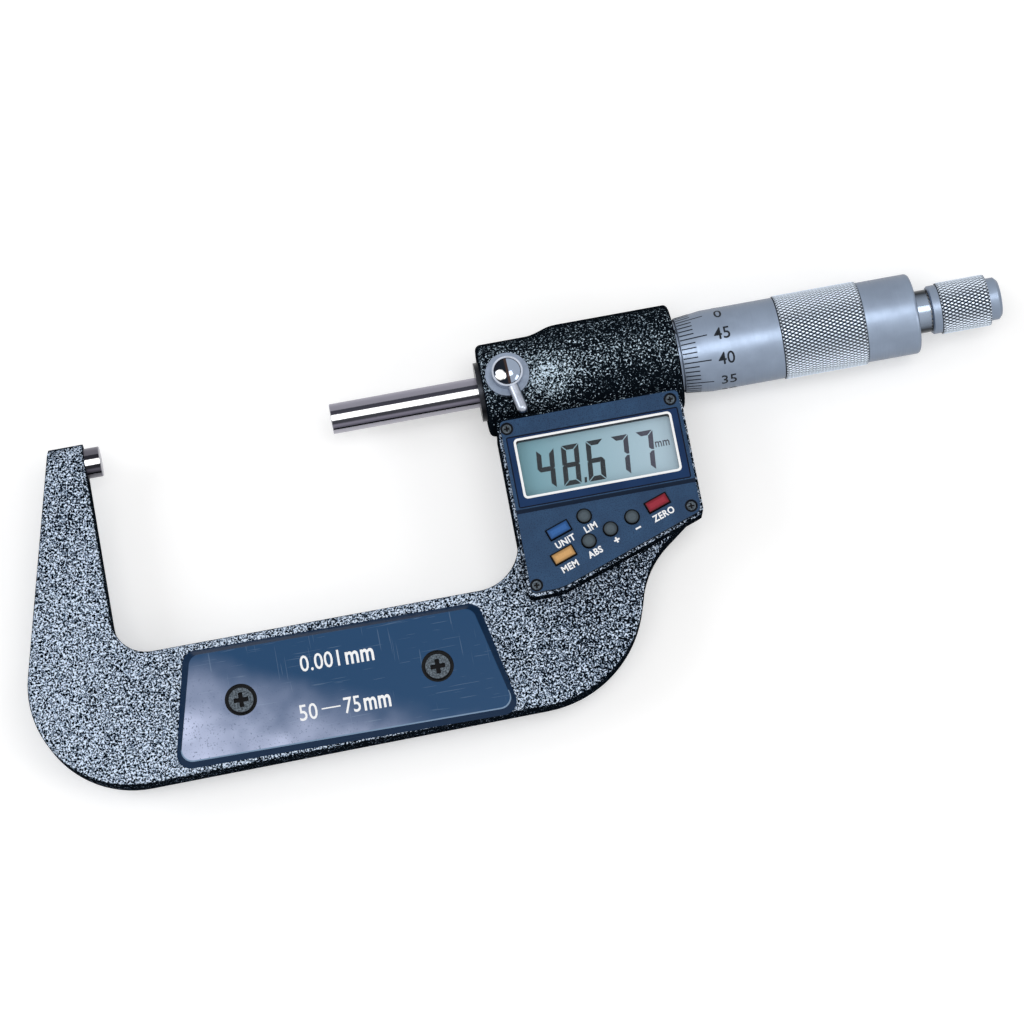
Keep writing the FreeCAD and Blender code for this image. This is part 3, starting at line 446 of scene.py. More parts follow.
def turned_metal(name, colour, roughness, ring=0.12, relief=0.0015, edge=0.6, outline=(0.1, 0.8),
                 knurls=()):
    """Metal with fine turning rings about the X axis, with painted shade towards its outline, and in
    knurls painted shade in the grooves and painted highlights on the crests.
    """
    metal = Finish(name, Metallic=1.0)
    rings = metal.noise(ring, 3.0, place=metal.stretched(1.0, 0.02, 0.02))
    cloud = metal.noise(5.0, 3.0)
    tone = metal.blend(metal.ramp(cloud, 0.35, 0.7), colour, shaded(colour, 0.85))
    # Painted shade towards the outline
    tone = metal.blend(metal.turning_away(*outline), tone, shaded(colour, edge))
    height = metal.away(weights=(0, 1, 1))
    groove = 0.55 * knurl_depth
    crest = 0.02 * knurl_depth
    for start, end, radius in knurls:
        # Painted shade in the knurl grooves, painted highlights on their crests
        up = metal.rise(height, radius - groove, radius - crest)
        knurl_shade_and_highlight = metal.blend(up, (0.004, 0.008, 0.014), (0.76, 0.85, 0.97))
        tone = metal.blend(metal.between(metal.axis("X"), start, end), tone, knurl_shade_and_highlight)
    metal.set("Base Color", tone)
    metal.rough(rings, roughness * 0.85, roughness * 1.2)
    metal.bump(rings, relief)
    return metal.material


def grained_metal(name, colour, roughness, size=0.08, relief=0.003, edge=0.5):
    """Metal with an even satin or blasted grain, with painted shade towards its outline, or a painted
    highlight there where edge is above one.
    """
    metal = Finish(name, Metallic=1.0)
    fine = metal.noise(size, 3.0)
    cloud = metal.noise(2.5, 2.0)
    tone = metal.blend(metal.ramp(cloud, 0.35, 0.7), colour, shaded(colour, 0.75))
    # Painted shade towards the outline, or a painted highlight where edge is above one
    outline = metal.turning_away(0.1, 0.7)
    metal.set("Base Color", metal.blend(outline, tone, shaded(colour, edge)))
    metal.rough(fine, roughness * 0.8, roughness * 1.2)
    metal.bump(fine, relief)
    return metal.material


def mirror_steel(name, radius, share=1.0):
    """Ground round bar with painted reflections: dark bands along it and one bright strip."""
    metal = Finish(name, Metallic=1.0)
    rings = metal.noise(0.05, 3.0, place=metal.stretched(1.0, 0.02, 0.02))
    height = metal.math("DIVIDE", metal.axis("Y"), radius * MM)
    height = metal.total(height, metal.waver(rings, 0.015))
    # Painted reflection, paler towards the top
    upper = shaded((0.24, 0.235, 0.28), share)
    tone = metal.blend(metal.ramp(height, 0.35, 0.95), upper, shaded((0.30, 0.29, 0.35), share))
    # Painted reflection bands: upper limit of each band as a share of the radius, softness and colour,
    # downwards
    for place, soft, colour in (
        (0.29, 0.04, shaded((0.045, 0.045, 0.06), share)),
        (-0.01, 0.04, (0.97, 0.97, 0.98)),
        (-0.37, 0.04, shaded((0.045, 0.045, 0.055), share)),
        (-0.60, 0.08, shaded((0.19, 0.18, 0.23), share)),
        (-0.81, 0.02, (0.002, 0.003, 0.004)),
        (-0.88, 0.02, shaded((0.38, 0.37, 0.42), share)),
    ):
        tone = metal.blend(metal.ramp(height, place + soft / 2, place - soft / 2), tone, colour)
    end_face = metal.ramp(metal.square_to("X"), 0.5, 0.8)
    metal.set("Base Color", metal.blend(end_face, tone, (0.34, 0.34, 0.38)))
    metal.rough(rings, 0.28, 0.36)
    metal.bump(rings, 0.0008)
    return metal.material


def screw_head(name, upper, lower, places, face_radius, light=1.0):
    """Dark steel head with painted shade: black in its recess and on its outer rim, at one level or at
    two either side of the step.
    """
    metal = Finish(name, Metallic=0.3, Specular_IOR_Level=0.1)
    black = (0.002, 0.002, 0.003)
    recess = 0.08
    raised = metal.above(metal.axis("Y"), step_y)
    top = metal.ramp(raised, 0.0, 1.0, (lower - recess) * MM, (upper - recess) * MM)
    # Painted shade: black below the head's top, in its recess
    shade_mask = metal.math("LESS_THAN", metal.axis("Z"), top)
    speckle = metal.ramp(metal.noise(0.35, 2.0), 0.4, 0.65)
    tone = metal.blend(speckle, (0.035, 0.045, 0.055), shaded((0.13, 0.16, 0.19), light))
    # Painted shade: a black ring on the head's outer rim
    for place in places:
        rim = metal.between(metal.beside(*place), face_radius, 2 * face_radius)
        tone = metal.blend(rim, tone, black)
    metal.set("Base Color", metal.blend(shade_mask, tone, black))
    metal.set("Roughness", metal.ramp(speckle, 0.0, 1.0, 0.3, 0.5))
    metal.bump(metal.noise(0.1, 2.0), 0.004)
    return metal.material


def polished_cap(x, y, turn):
    """Polished dome with painted reflections: a dark half and a bright one, a painted shade line for
    the slot between, a painted glint, and on the rim a painted dark ring and a pale painted highlight.
    """
    metal = Finish("polished_cap", Metallic=1.0, Roughness=0.10)
    angle = math.radians(turn)
    along = metal.math("SUBTRACT", metal.axis("X"), x * MM)
    across = metal.math("SUBTRACT", metal.axis("Y"), y * MM)
    side = metal.math("SUBTRACT", metal.product(across, math.cos(angle)),
                      metal.product(along, math.sin(angle)))
    reach = 0.3 * MM
    wave = metal.total(side, metal.waver(metal.noise(2.2, 1.0), reach))
    # Painted reflection: a bright half and a dark half
    tone = metal.blend(metal.rise(wave, -0.1, 0.1), (0.30, 0.36, 0.46), (0.012, 0.016, 0.024))
    # Painted glint
    glint = metal.total(metal.beside(x - 1.4, y - 0.7), metal.waver(metal.noise(1.5, 1.0), reach))
    tone = metal.blend(metal.rise(glint, 1.1, 0.9), tone, (1.0, 1.0, 1.0))
    # Painted shade line for the slot
    slot = metal.math("ABSOLUTE", side)
    tone = metal.blend(metal.rise(slot, 0.32, 0.24), tone, (0.05, 0.033, 0.030))
    # Painted dark ring and pale painted highlight on the rim
    out = metal.beside(x, y)
    tone = metal.blend(metal.rise(out, 2.70, 2.80), tone, (0.01, 0.012, 0.018))
    tone = metal.blend(metal.rise(out, 2.90, 3.00), tone, (0.95, 0.96, 0.98))
    metal.set("Base Color", tone)
    metal.bump(metal.noise(0.3, 1.0), 0.0005)
    return metal.material


def moulded(name, colour, roughness):
    """Plastic or paint with a fine skin and slow changes of tone, and painted shade on side walls."""
    skin = Finish(name, Specular_IOR_Level=0.12)
    fine = skin.noise(0.25, 3.0)
    cloud = skin.noise(6.0, 2.0)
    tone = skin.blend(skin.ramp(cloud, noise_low, noise_high), colour, shaded(colour, 0.75))
    tone = skin.blend(skin.ramp(fine, 0.56, 0.72, 0.0, 0.7), tone, shaded(colour, 0.55))
    # Painted shade on side walls
    side_wall_shade = skin.ramp(skin.square_to("Z"), 0.85, 0.4)
    skin.set("Base Color", skin.blend(side_wall_shade, tone, shaded(colour, 0.12)))
    skin.rough(fine, roughness * 0.85, roughness * 1.15)
    skin.bump(fine, 0.006)
    return skin.material


def button_skin(name, colour):
    """Moulded button with painted shade: darker towards its outline, black along it and on its side
    walls.
    """
    skin = Finish(name, Specular_IOR_Level=0.12)
    fine = skin.noise(0.15, 3.0)
    out = skin.from_buttons()
    dim = shaded(colour, 0.6)
    dark = shaded(colour, 0.04)
    tone = skin.blend(skin.ramp(fine, 0.52, 0.72, 0.0, 0.6), colour, dim)
    # Painted shade: darker towards the outline, black along it and on side walls
    tone = skin.blend(skin.rise(out, -0.8, -0.2, 0.0, 0.8), tone, dim)
    tone = skin.blend(skin.rise(out, -0.22, -0.06), tone, dark)
    tone = skin.blend(skin.ramp(skin.square_to("Z"), 0.85, 0.4), tone, dark)
    skin.set("Base Color", tone)
    skin.rough(fine, 0.34, 0.46)
    skin.bump(skin.rise(out, -0.6, 0.0, 1.0, 0.0), 0.25)
    return skin.material


def panel_paint():
    """Blue panel with painted shade on its edges, recesses and step and round its screws and buttons.
    """
    paint = Finish("panel_blue", Specular_IOR_Level=0.12)
    fine = paint.noise(0.22, 3.0)
    speck = paint.ramp(fine, 0.50, 0.68, 0.0, 0.85)
    cloud = paint.ramp(paint.noise(6.0, 2.0), noise_low, noise_high)
    blue = paint.blend(cloud, (0.028, 0.074, 0.158), (0.020, 0.053, 0.118))
    blue = paint.blend(speck, blue, (0.012, 0.025, 0.055))
    level = paint.axis("Z")
    across = paint.axis("Y")
    # Painted shade on the step's wall
    blue = paint.blend(paint.between(across, step_y, step_y + step_run), blue, (0.009, 0.020, 0.046))
    # Painted shade in recesses, on side walls, in rings round screws and round buttons
    recess = 0.06
    screw_shadow_ring = 1.4
    raised = paint.above(across, step_y + step_run)
    shade_mask = paint.product(raised, paint.below(level, upper_level - recess))
    shade_places = [
        paint.below(level, lower_level - recess),
        paint.ramp(paint.square_to("Z"), 0.8, 0.4),
        *[paint.below(paint.beside(*place), screw_shadow_ring) for place in panel_screws],
        paint.rise(paint.from_buttons(), 0.30, 0.18),
    ]
    for place in shade_places:
        shade_mask = paint.math("MAXIMUM", shade_mask, place)
    paint.set("Base Color", paint.blend(shade_mask, blue, (0.004, 0.008, 0.018)))
    paint.rough(fine, 0.36, 0.50)
    paint.bump(fine, 0.012)
    return paint.material


def plate_enamel():
    """Glossy blue enamel with hair scratches, a painted pale reflection low on the left, painted shade
    on its bevels and in its screw recesses, and a painted highlight along its bottom brink.
    """
    enamel = Finish("plate_enamel", Specular_IOR_Level=0.12)
    along = enamel.axis("X")
    across = enamel.axis("Y")
    level = enamel.axis("Z")

    # Painted reflection: pale, low on the left, with a slanting upper edge
    reflection_x = 42.0
    reflection_y = -60.0
    steeper = 2.4
    leftward = enamel.math("SUBTRACT", reflection_x * MM, along)
    downward = enamel.product(enamel.math("SUBTRACT", reflection_y * MM, across), steeper)
    slope = enamel.total(leftward, downward, enamel.waver(enamel.noise(9.0, 2.0), 3.0 * MM))
    painted_reflection = enamel.math("POWER", enamel.rise(slope, -6.0, 32.0), 1.6)
    painted_reflection = enamel.product(painted_reflection, enamel.ramp(enamel.noise(9.0, 2.0), 0.25, 0.7, 0.45, 1.0))

    hairs = enamel.noise(0.3, 1.0, 0.3, enamel.stretched(0.04, 1.0, 1.0, 62.0))
    hairs = enamel.ramp(hairs, 0.70, 0.73)
    long_hairs = enamel.noise(0.35, 1.0, 0.2, enamel.stretched(1.0, 0.03, 1.0, 20.0))
    long_hairs = enamel.ramp(long_hairs, 0.72, 0.75)
    scratch = 0.10
    scratches = enamel.product(enamel.math("MAXIMUM", hairs, long_hairs), scratch)
    # Pits show only where the painted reflection lies
    pits = enamel.product(enamel.ramp(enamel.noise(0.4, 2.0), 0.62, 0.68), painted_reflection, 0.7)

    blue = enamel.blend(painted_reflection, (0.016, 0.062, 0.150), (0.58, 0.64, 0.86))
    blue = enamel.blend(scratches, blue, (0.45, 0.60, 0.75))
    blue = enamel.blend(pits, blue, (0.03, 0.06, 0.12))
    # Painted shade on the bevels
    blue = enamel.blend(enamel.below(level, plate_top - 0.08), blue, (0.008, 0.026, 0.066))
    # Painted highlight along the bottom brink of the face
    brink_highlight_y = -66.0
    brink_highlight = enamel.product(enamel.between(level, plate_top - 0.30, plate_top - 0.02),
                           enamel.below(across, brink_highlight_y))
    blue = enamel.blend(brink_highlight, blue, (0.22, 0.33, 0.48))
    # Painted shade in the screw recesses
    recess_radius = 3.6
    for place in plate_screws:
        recess = enamel.product(enamel.below(enamel.beside(*place), recess_radius),
                                enamel.below(level, plate_top - 0.03))
        blue = enamel.blend(recess, blue, (0.003, 0.004, 0.006))
    enamel.set("Base Color", blue)
    enamel.set("Roughness", enamel.ramp(scratches, 0.0, scratch, 0.20, 0.35))
    enamel.bump(enamel.noise(0.3, 2.0), 0.002)
    return enamel.material


def window_plastic(left, right, bottom, top):
    """Navy printed border round a clear window between these places, in millimetres."""
    clear = Finish("window_plastic", IOR=1.49, Specular_IOR_Level=0.1)
    x = clear.axis("X")
    y = clear.axis("Y")
    inside = clear.product(clear.between(x, left, right), clear.between(y, bottom, top))
    cloud = clear.ramp(clear.noise(7.0, 2.0), noise_low, noise_high)
    navy = clear.blend(cloud, (0.011, 0.038, 0.115), (0.008, 0.028, 0.088))
    low, high = size_of("display_lens")
    rim = 0.22
    printed = clear.product(clear.between(x, low.x + rim, high.x - rim),
                            clear.between(y, low.y + rim, high.y - rim))
    navy = clear.blend(printed, (0.003, 0.005, 0.016), navy)
    clear.set("Base Color", clear.blend(inside, navy, (0.75, 0.85, 0.9)))
    clear.set("Alpha", clear.ramp(inside, 0.0, 1.0, 1.0, 0.02))
    clear.rough(clear.noise(0.4, 2.0), 0.10, 0.16)
    return clear.material


def display_face():
    """Grey-green reflector of the display, paler towards the right."""
    face = Finish("display_face", Roughness=0.35, Specular_IOR_Level=0.1)
    to_right = face.rise(face.axis("X"), 88.0, 120.0)
    tone = face.blend(to_right, (0.17, 0.36, 0.43), (0.50, 0.65, 0.75))
    speck = face.ramp(face.noise(0.12, 2.0), noise_low, noise_high, 0.0, 0.16)
    face.set("Base Color", face.blend(speck, tone, (0.12, 0.22, 0.25)))
    face.bump(face.noise(0.1, 1.0), 0.001)
    return face.material


def segment_ink():
    """Display segments, black at the left and faded to violet grey at the right."""
    ink = Finish("segment_ink", Roughness=0.5, Specular_IOR_Level=0.1)
    fade = ink.total(ink.rise(ink.axis("X"), 105.0, 114.5), ink.waver(ink.noise(1.2, 1.0), 0.05))
    ink.set("Base Color", ink.blend(fade, (0.004, 0.007, 0.011), (0.060, 0.060, 0.090)))
    return ink.material


def mark_paint(name, colour):
    """Printed or filled mark with slightly uneven cover."""
    paint = Finish(name, Roughness=0.5, Specular_IOR_Level=0.1)
    thin = paint.ramp(paint.noise(0.3, 3.0), 0.35, 0.75, 0.0, 0.12)
    faded = tuple(0.5 * part + 0.1 for part in colour)
    paint.set("Base Color", paint.blend(thin, colour, faded))
    return paint.material


# Every finish by the name that records and pieces give it

knurled_bands = ((band_start, band_end, band_radius), (grip_start, grip_end, grip_radius))
bar_radius = size_of("anvil")[1].z
plate_head = plate_top - 0.25
upper_head = upper_level - 0.15
lower_head = lower_level - 0.15

finishes = {
    "hammertone": hammertone(),
    "ground_steel": turned_metal(
        "ground_steel", (0.50, 0.52, 0.56), 0.20, 0.05, 0.0008, 0.08, (0.04, 0.5)),
    "satin_chrome": turned_metal("satin_chrome", (0.27, 0.33, 0.43), 0.40, knurls=knurled_bands),
    "bright_turned": turned_metal(
        "bright_turned", (0.34, 0.41, 0.52), 0.20, 0.3, 0.001, 0.05, (0.03, 0.45)),
    "satin_lever": grained_metal("satin_lever", (0.44, 0.48, 0.56), 0.30, 0.1, 0.002, 0.55),
    "satin_ring": grained_metal("satin_ring", (0.20, 0.24, 0.31), 0.38, 0.1, 0.002, 1.5),
    "polished_cap": polished_cap(*centre_of("lock_cap_screw"), cap_slot_turn),
    "mirror_steel": mirror_steel("mirror_steel", bar_radius),
    # The anvil's copy shows the painted reflections at half strength
    "dim_mirror": mirror_steel("dim_mirror", bar_radius, 0.5),
    "plate_screw": screw_head("plate_screw", plate_head, plate_head, plate_screws, 2.6),
    "panel_screw": screw_head("panel_screw", upper_head, lower_head, panel_screws, 0.95, 0.8),
    "spring_steel": grained_metal("spring_steel", (0.35, 0.36, 0.38), 0.3),
    "black_steel": grained_metal("black_steel", (0.035, 0.038, 0.045), 0.32, 0.1, 0.004),
    "brass": turned_metal("brass", (0.70, 0.50, 0.22), 0.3),
    "inner_plastic": moulded("inner_plastic", (0.05, 0.05, 0.055), 0.5),
    "board_green": moulded("board_green", (0.02, 0.12, 0.05), 0.4),
    "flex_orange": moulded("flex_orange", (0.50, 0.20, 0.04), 0.4),
    "panel_blue": panel_paint(),
    "plate_blue": plate_enamel(),
    "lens_clear": window_plastic(*window_edges),
    "lcd_face": display_face(),
    "rubber_grey": moulded("rubber_grey", (0.12, 0.12, 0.12), 0.6),
    "rubber_black": moulded("rubber_black", (0.02, 0.02, 0.02), 0.6),
    "black_plastic": moulded("black_plastic", (0.022, 0.022, 0.025), 0.45),
    "button_grey": button_skin("button_grey", (0.075, 0.10, 0.12)),
    "button_yellow": button_skin("button_yellow", (0.66, 0.38, 0.15)),
    "button_red": button_skin("button_red", (0.31, 0.026, 0.045)),
    "button_blue": button_skin("button_blue", (0.035, 0.125, 0.36)),
    "white_print": mark_paint("white_print", (0.95, 0.96, 0.97)),
    "black_print": mark_paint("black_print", (0.012, 0.016, 0.022)),
    "segment_ink": segment_ink(),
}

# Nodes that look other than the rest of their packed material
own_finish = {
    "anvil": "dim_mirror",
    "anvil_tip": "dim_mirror",
    "spindle": "mirror_steel",
    "spindle_tip": "mirror_steel",
    "insulating_plate_screws": "plate_screw",
    "panel_screws": "panel_screw",
    "ratchet_shaft": "bright_turned",
    "lock_lever": "satin_lever",
    "lock_bush": "satin_ring",
    "lock_cap_screw": "polished_cap",
}
for item in frame["record"]["subparts"]:
    surface = nodes[item["node"]].data
    surface.materials.clear()
    surface.materials.append(finishes[own_finish.get(item["node"], item["material_slot"])])


# Meshes

sharp_angle = math.radians(30)


def piece(name, points, faces, body, finish):
    """New object from points in millimetres, riding on a body."""
    mesh = bpy.data.meshes.new(name)
    mesh.from_pydata([Vector(point) * MM for point in points], [], faces)
    mesh.validate()
    net = bmesh.new()
    net.from_mesh(mesh)
    bmesh.ops.recalc_face_normals(net, faces=net.faces)
    net.to_mesh(mesh)
    net.free()
    mesh.shade_smooth()
    mesh.set_sharp_from_angle(angle=sharp_angle)
    mesh.materials.append(finishes[finish])
    thing = bpy.data.objects.new(name, mesh)
    bpy.context.scene.collection.objects.link(thing)
    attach(thing, body)
    return thing


def lathe(name, profile, columns, body, slot, relief):
    """Closed ring turned about X from (x, radius) points; relief(x, turn) adds to the radius."""
    points = []
    for x, radius in profile:
        for column in range(columns):
            turn = column / columns
            r = radius + relief(x, turn)
            angle = 2 * math.pi * turn
            points.append((x, r * math.sin(angle), r * math.cos(angle)))
    faces = []
    rows = len(profile)
    for row in range(rows):
        below = (row + 1) % rows
        for column in range(columns):
            beside = (column + 1) % columns
            faces.append((row * columns + column, row * columns + beside,
                          below * columns + beside, below * columns + column))
    return piece(name, points, faces, body, slot)


def knurl(start, end, along_count, around_count):
    """Diamond relief between two places: height over the groove bottom, less its full depth."""
    run_out = 0.45
    edge_height = 0.7
    nearly = 1e-6

    def height(phase):
        return 1 - abs(2 * (phase % 1.0) - 1)

    def relief(x, turn):
        if x < start - nearly or x > end + nearly:
            return 0.0
        u = (x - start) / (end - start) * along_count
        v = turn * around_count
        top = min(height(u / 2 + v / 2), height(u / 2 - v / 2)) * 2
        inward = min(x - start, end - x) / run_out
        share = min(1.0, top, edge_height + (1 - edge_height) * inward)
        return (share - 1) * knurl_depth

    return relief


def band_rows(start, end, radius, diamonds):
    """Profile points of a knurled band, just inside its ends."""
    low = start + 0.01
    high = end - 0.01
    count = diamonds * along_samples
    return [(low + (high - low) * index / count, radius) for index in range(count + 1)]


# Thimble with its knurled band

bore = 7.55
edge_radius = 8.1
thimble_radius = 8.8
rear_radius = 8.7
taper_end = edge_x + 6.0
break_edge = 0.18
end_round = 0.8
end_wall = 6.0
end_hole = 3.3
thread_hole = 3.7


def round_corner(x, radius, size, steps=5):
    """Quarter round at the outer far corner of a lathe profile."""
    corner = []
    for step in range(steps + 1):
        angle = math.pi / 2 * step / steps
        corner.append((x - size + size * math.sin(angle), radius - size + size * math.cos(angle)))
    return corner


def thimble():
    profile = [
        (edge_x, bore + 0.1),
        (edge_x, edge_radius - break_edge),
        (edge_x + break_edge, edge_radius),
        (taper_end, thimble_radius),
        (band_start - break_edge, thimble_radius),
        (band_start, thimble_radius - break_edge / 2),
        *band_rows(band_start, band_end, band_radius, band_steps[0]),
        (band_end, rear_radius - break_edge / 2),
        (band_end + break_edge, rear_radius),
        *round_corner(end_x, rear_radius, end_round),
        (end_x, end_hole),
        (end_x - end_wall, thread_hole),
        (end_x - end_wall, bore),
        (edge_x + 0.1, bore),
    ]
    relief = knurl(band_start, band_end, *band_steps)
    columns = band_steps[1] * around_samples
    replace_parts(lathe("thimble_body", profile, columns, "spindle", "satin_chrome", relief), "thimble")


# Ratchet knob with its knurled grip

def ratchet_grip():
    start = knob_low.x
    end = knob_high.x
    collar = 5.25
    tip = 4.6
    chamfer = 0.7
    neck_bore = 4.4
    recess = 3.2
    screw_hole = 1.95
    web_start = start + 9.1
    web_end = web_start + 2.2
    small_break = 0.1
    profile = [
        (start, neck_bore),
        (start, collar - 0.3),
        (start + 0.3, collar),
        (grip_start - small_break, collar),
        (grip_start, collar - small_break),
        *band_rows(grip_start, grip_end, grip_radius, grip_steps[0]),
        (grip_end, tip - small_break),
        (grip_end + small_break, tip),
        (end - chamfer, tip),
        (end, tip - chamfer),
        (end, recess + small_break),
        (end - small_break, recess),
        (web_end, recess),
        (web_end, screw_hole),
        (web_start, screw_hole),
        (web_start, neck_bore),
    ]
    relief = knurl(grip_start, grip_end, *grip_steps)
    columns = grip_steps[1] * around_samples
    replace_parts(lathe("ratchet_grip", profile, columns, "ratchet", "satin_chrome", relief),
                "ratchet_knob")


# Flat marks: outlines and text in a plane, laid on a surface by a place function

mark_height = 0.02
mark_sunk = 0.02
curved_slice = 0.3
capital_share = 0.73


class Marks:
    """Collects flat shapes, each laid on a surface by place(u, v, height)."""

    def __init__(self):
        self.points = []
        self.faces = []

    def lay(self, net, place, cut=None):
        """Adds a flat net as a thin closed body; cut slices it along v so that it can bend."""
        if cut:
            heights = [vertex.co.y for vertex in net.verts]
            level = min(heights) + cut
            while level < max(heights):
                geometry = net.verts[:] + net.edges[:] + net.faces[:]
                bmesh.ops.bisect_plane(net, geom=geometry, plane_co=(0, level, 0), plane_no=(0, 1, 0))
                level += cut
        bmesh.ops.remove_doubles(net, verts=net.verts[:], dist=1e-4)
        net.verts.index_update()
        under = len(self.points)
        over = under + len(net.verts)
        for height in (-mark_sunk, mark_height):
            self.points += [place(vertex.co.x, vertex.co.y, height) for vertex in net.verts]
        for face in net.faces:
            corners = [vertex.index for vertex in face.verts]
            self.faces.append([under + corner for corner in corners])
            self.faces.append([over + corner for corner in corners])
        for edge in net.edges:
            if edge.is_boundary:
                first, second = [vertex.index for vertex in edge.verts]
                self.faces.append([under + first, under + second, over + second, over + first])
        net.free()

    def outline(self, corners, place, cut=None):
        net = bmesh.new()
        net.faces.new([net.verts.new((u, v, 0)) for u, v in corners])
        self.lay(net, place, cut)

    def bar(self, u0, u1, v, width, place):
        half = width / 2
        self.outline([(u0, v - half), (u1, v - half), (u1, v + half), (u0, v + half)], place)

    def text(self, words, height, place, align="CENTER", bold=0.0, squeeze=1.0, cut=None):
        """Words whose capitals are this high, centred on v = 0."""
        curve = bpy.data.curves.new("words", "FONT")
        curve.body = words
        curve.size = height / capital_share
        curve.align_x = align
        curve.align_y = "BOTTOM_BASELINE"
        curve.offset = bold * height
        curve.space_character = 1.0 + 2 * bold
        curve.resolution_u = 3
        holder = bpy.data.objects.new("words", curve)
        bpy.context.scene.collection.objects.link(holder)
        bpy.context.view_layer.update()
        graph = bpy.context.evaluated_depsgraph_get()
        flat = bpy.data.meshes.new_from_object(holder.evaluated_get(graph))
        net = bmesh.new()
        net.from_mesh(flat)
        for vertex in net.verts:
            vertex.co.x *= squeeze
            vertex.co.y -= height / 2
        bpy.data.objects.remove(holder)
        bpy.data.curves.remove(curve)
        bpy.data.meshes.remove(flat)
        self.lay(net, place, cut)

    def make(self, name, body, finish):
        return piece(name, self.points, self.faces, body, finish)


def on_plane(x, y, z, turn=0.0):
    """Place function for a level surface, with its own origin and turn in degrees."""
    c = math.cos(math.radians(turn))
    s = math.sin(math.radians(turn))

    def place(u, v, h):
        return x + u * c - v * s, y + u * s + v * c, z + h

    return place


def on_round(x, angle, radius_at):
    """Place function round the X axis: u runs along it, v round it towards +Y from the angle."""
    start = math.radians(angle)

    def place(u, v, h):
        r = radius_at(x + u) + h
        turn = start + v / radius_at(x)
        return x + u, r * math.sin(turn), r * math.cos(turn)

    return place


# Graduations of the thimble and sleeve

divisions = 50
division_angle = 360 / divisions
reading = 43.94
line_start = 0.25
line_width = 0.24
long_line = 6.1
short_line = 3.4
number_start = 9.4
number_height = 2.8


def thimble_surface(x):
    share = min(1.0, max(0.0, (x - edge_x) / (taper_end - edge_x)))
    return edge_radius + share * (thimble_radius - edge_radius)


def thimble_scale():
    marks = Marks()
    for index in range(divisions):
        angle = (index - reading) * division_angle
        numbered = index % 5 == 0
        length = long_line if numbered else short_line
        marks.bar(line_start, length, 0.0, line_width, on_round(edge_x, angle, thimble_surface))
        if numbered:
            place = on_round(edge_x + number_start, angle, thimble_surface)
            marks.text(str(index), number_height, place, bold=0.012, squeeze=0.95, cut=curved_slice)
    marks.make("thimble_scale", "spindle", "black_print")


sleeve_low, sleeve_high = size_of("graduated_sleeve")
sleeve_range = 25
hair_width = 0.12
zero_line_width = 0.14
numbered_length = 2.6
plain_length = 1.5
sleeve_number_height = 1.7
sleeve_number_rise = 3.9


def sleeve_scale():
    """Whole millimetres above the zero line, numbered at every fifth, and halves below it."""
    marks = Marks()
    radius = sleeve_high.z

    def surface(x):
        return radius

    zero_x = edge_x + 0.1
    place = on_round(0.0, 0.0, surface)
    marks.bar(sleeve_low.x + 0.5, sleeve_high.x - 6.0, 0.0, zero_line_width, place)
    left = -hair_width / 2
    right = hair_width / 2
    for half in range(2 * sleeve_range + 1):
        x = zero_x + half / 2
        numbered = half % 10 == 0
        length = numbered_length if numbered else plain_length
        low, high = (0.0, length) if half % 2 == 0 else (-length, 0.0)
        line = [(x + left, low), (x + right, low), (x + right, high), (x + left, high)]
        marks.outline(line, place, curved_slice)
        if numbered:
            number = on_round(x, math.degrees(sleeve_number_rise / radius), surface)
            marks.text(str(half // 2), sleeve_number_height, number, bold=0.01, cut=curved_slice)
    marks.make("sleeve_scale", "frame", "black_print")


# Display: segments, window frame and small signs

segment_runs = {
    "4": "bcfg",
    "6": "acdefg",
    "7": "abc",
    "8": "abcdefg",
}
digit_width = 3.75
digit_height = 8.75
digit_pitch = 5.34
digit_stroke = 1.04
digit_slant = math.tan(math.radians(5.5))
digit_gap = 0.14
first_digit = (92.93, -21.37)
point_outline = ((-0.22, 0.0), (0.28, 0.0), (0.42, 1.15), (-0.08, 1.15))
point_shift = -0.35
unit_place = (118.1, -20.0)
unit_height = 1.95


def segment_outline(name):
    """Mitred bar of one segment, in a digit centred on the origin."""
    w = digit_width / 2
    h = digit_height / 2
    s = digit_stroke
    gap = digit_gap
    if name == "g":
        corners = [
            (gap - w, 0),
            (gap - w + s / 2, s / 2),
            (w - s / 2 - gap, s / 2),
            (w - gap, 0),
            (w - s / 2 - gap, -s / 2),
            (gap - w + s / 2, -s / 2),
        ]
    elif name in "ad":
        corners = [(gap - w, h), (w - gap, h), (w - s - gap, h - s), (s + gap - w, h - s)]
    else:
        corners = [
            (w, h - gap),
            (w, gap),
            (w - s / 2, gap),
            (w - s, s / 2 + gap),
            (w - s, h - s - gap),
        ]
    across = -1 if name in "ef" else 1
    down = -1 if name in "cde" else 1
    return [(u * across + v * down * digit_slant, v * down) for u, v in corners]


def display_digits():
    glass = size_of("lcd_glass")[1].z
    marks = Marks()
    x, y = first_digit
    for index, digit in enumerate("48677"):
        place = on_plane(x + index * digit_pitch, y, glass)
        for name in segment_runs[digit]:
            marks.outline(segment_outline(name), place)
    point_x = x + 1.5 * digit_pitch + point_shift
    marks.outline(point_outline, on_plane(point_x, y - digit_height / 2, glass))
    marks.text("mm", unit_height, on_plane(*unit_place, glass), bold=0.015, squeeze=0.78)
    marks.make("display_digits", "frame", "segment_ink")


def rounded_loop(left, right, bottom, top, radius, steps=6):
    """Points round a rectangle with rounded corners, counterclockwise from the right."""
    loop = []
    for x, y, start in (
        (right - radius, top - radius, 0),
        (left + radius, top - radius, 90),
        (left + radius, bottom + radius, 180),
        (right - radius, bottom + radius, 270),
    ):
        for step in range(steps + 1):
            angle = math.radians(start + 90 * step / steps)
            loop.append((x + radius * math.cos(angle), y + radius * math.sin(angle)))
    return loop


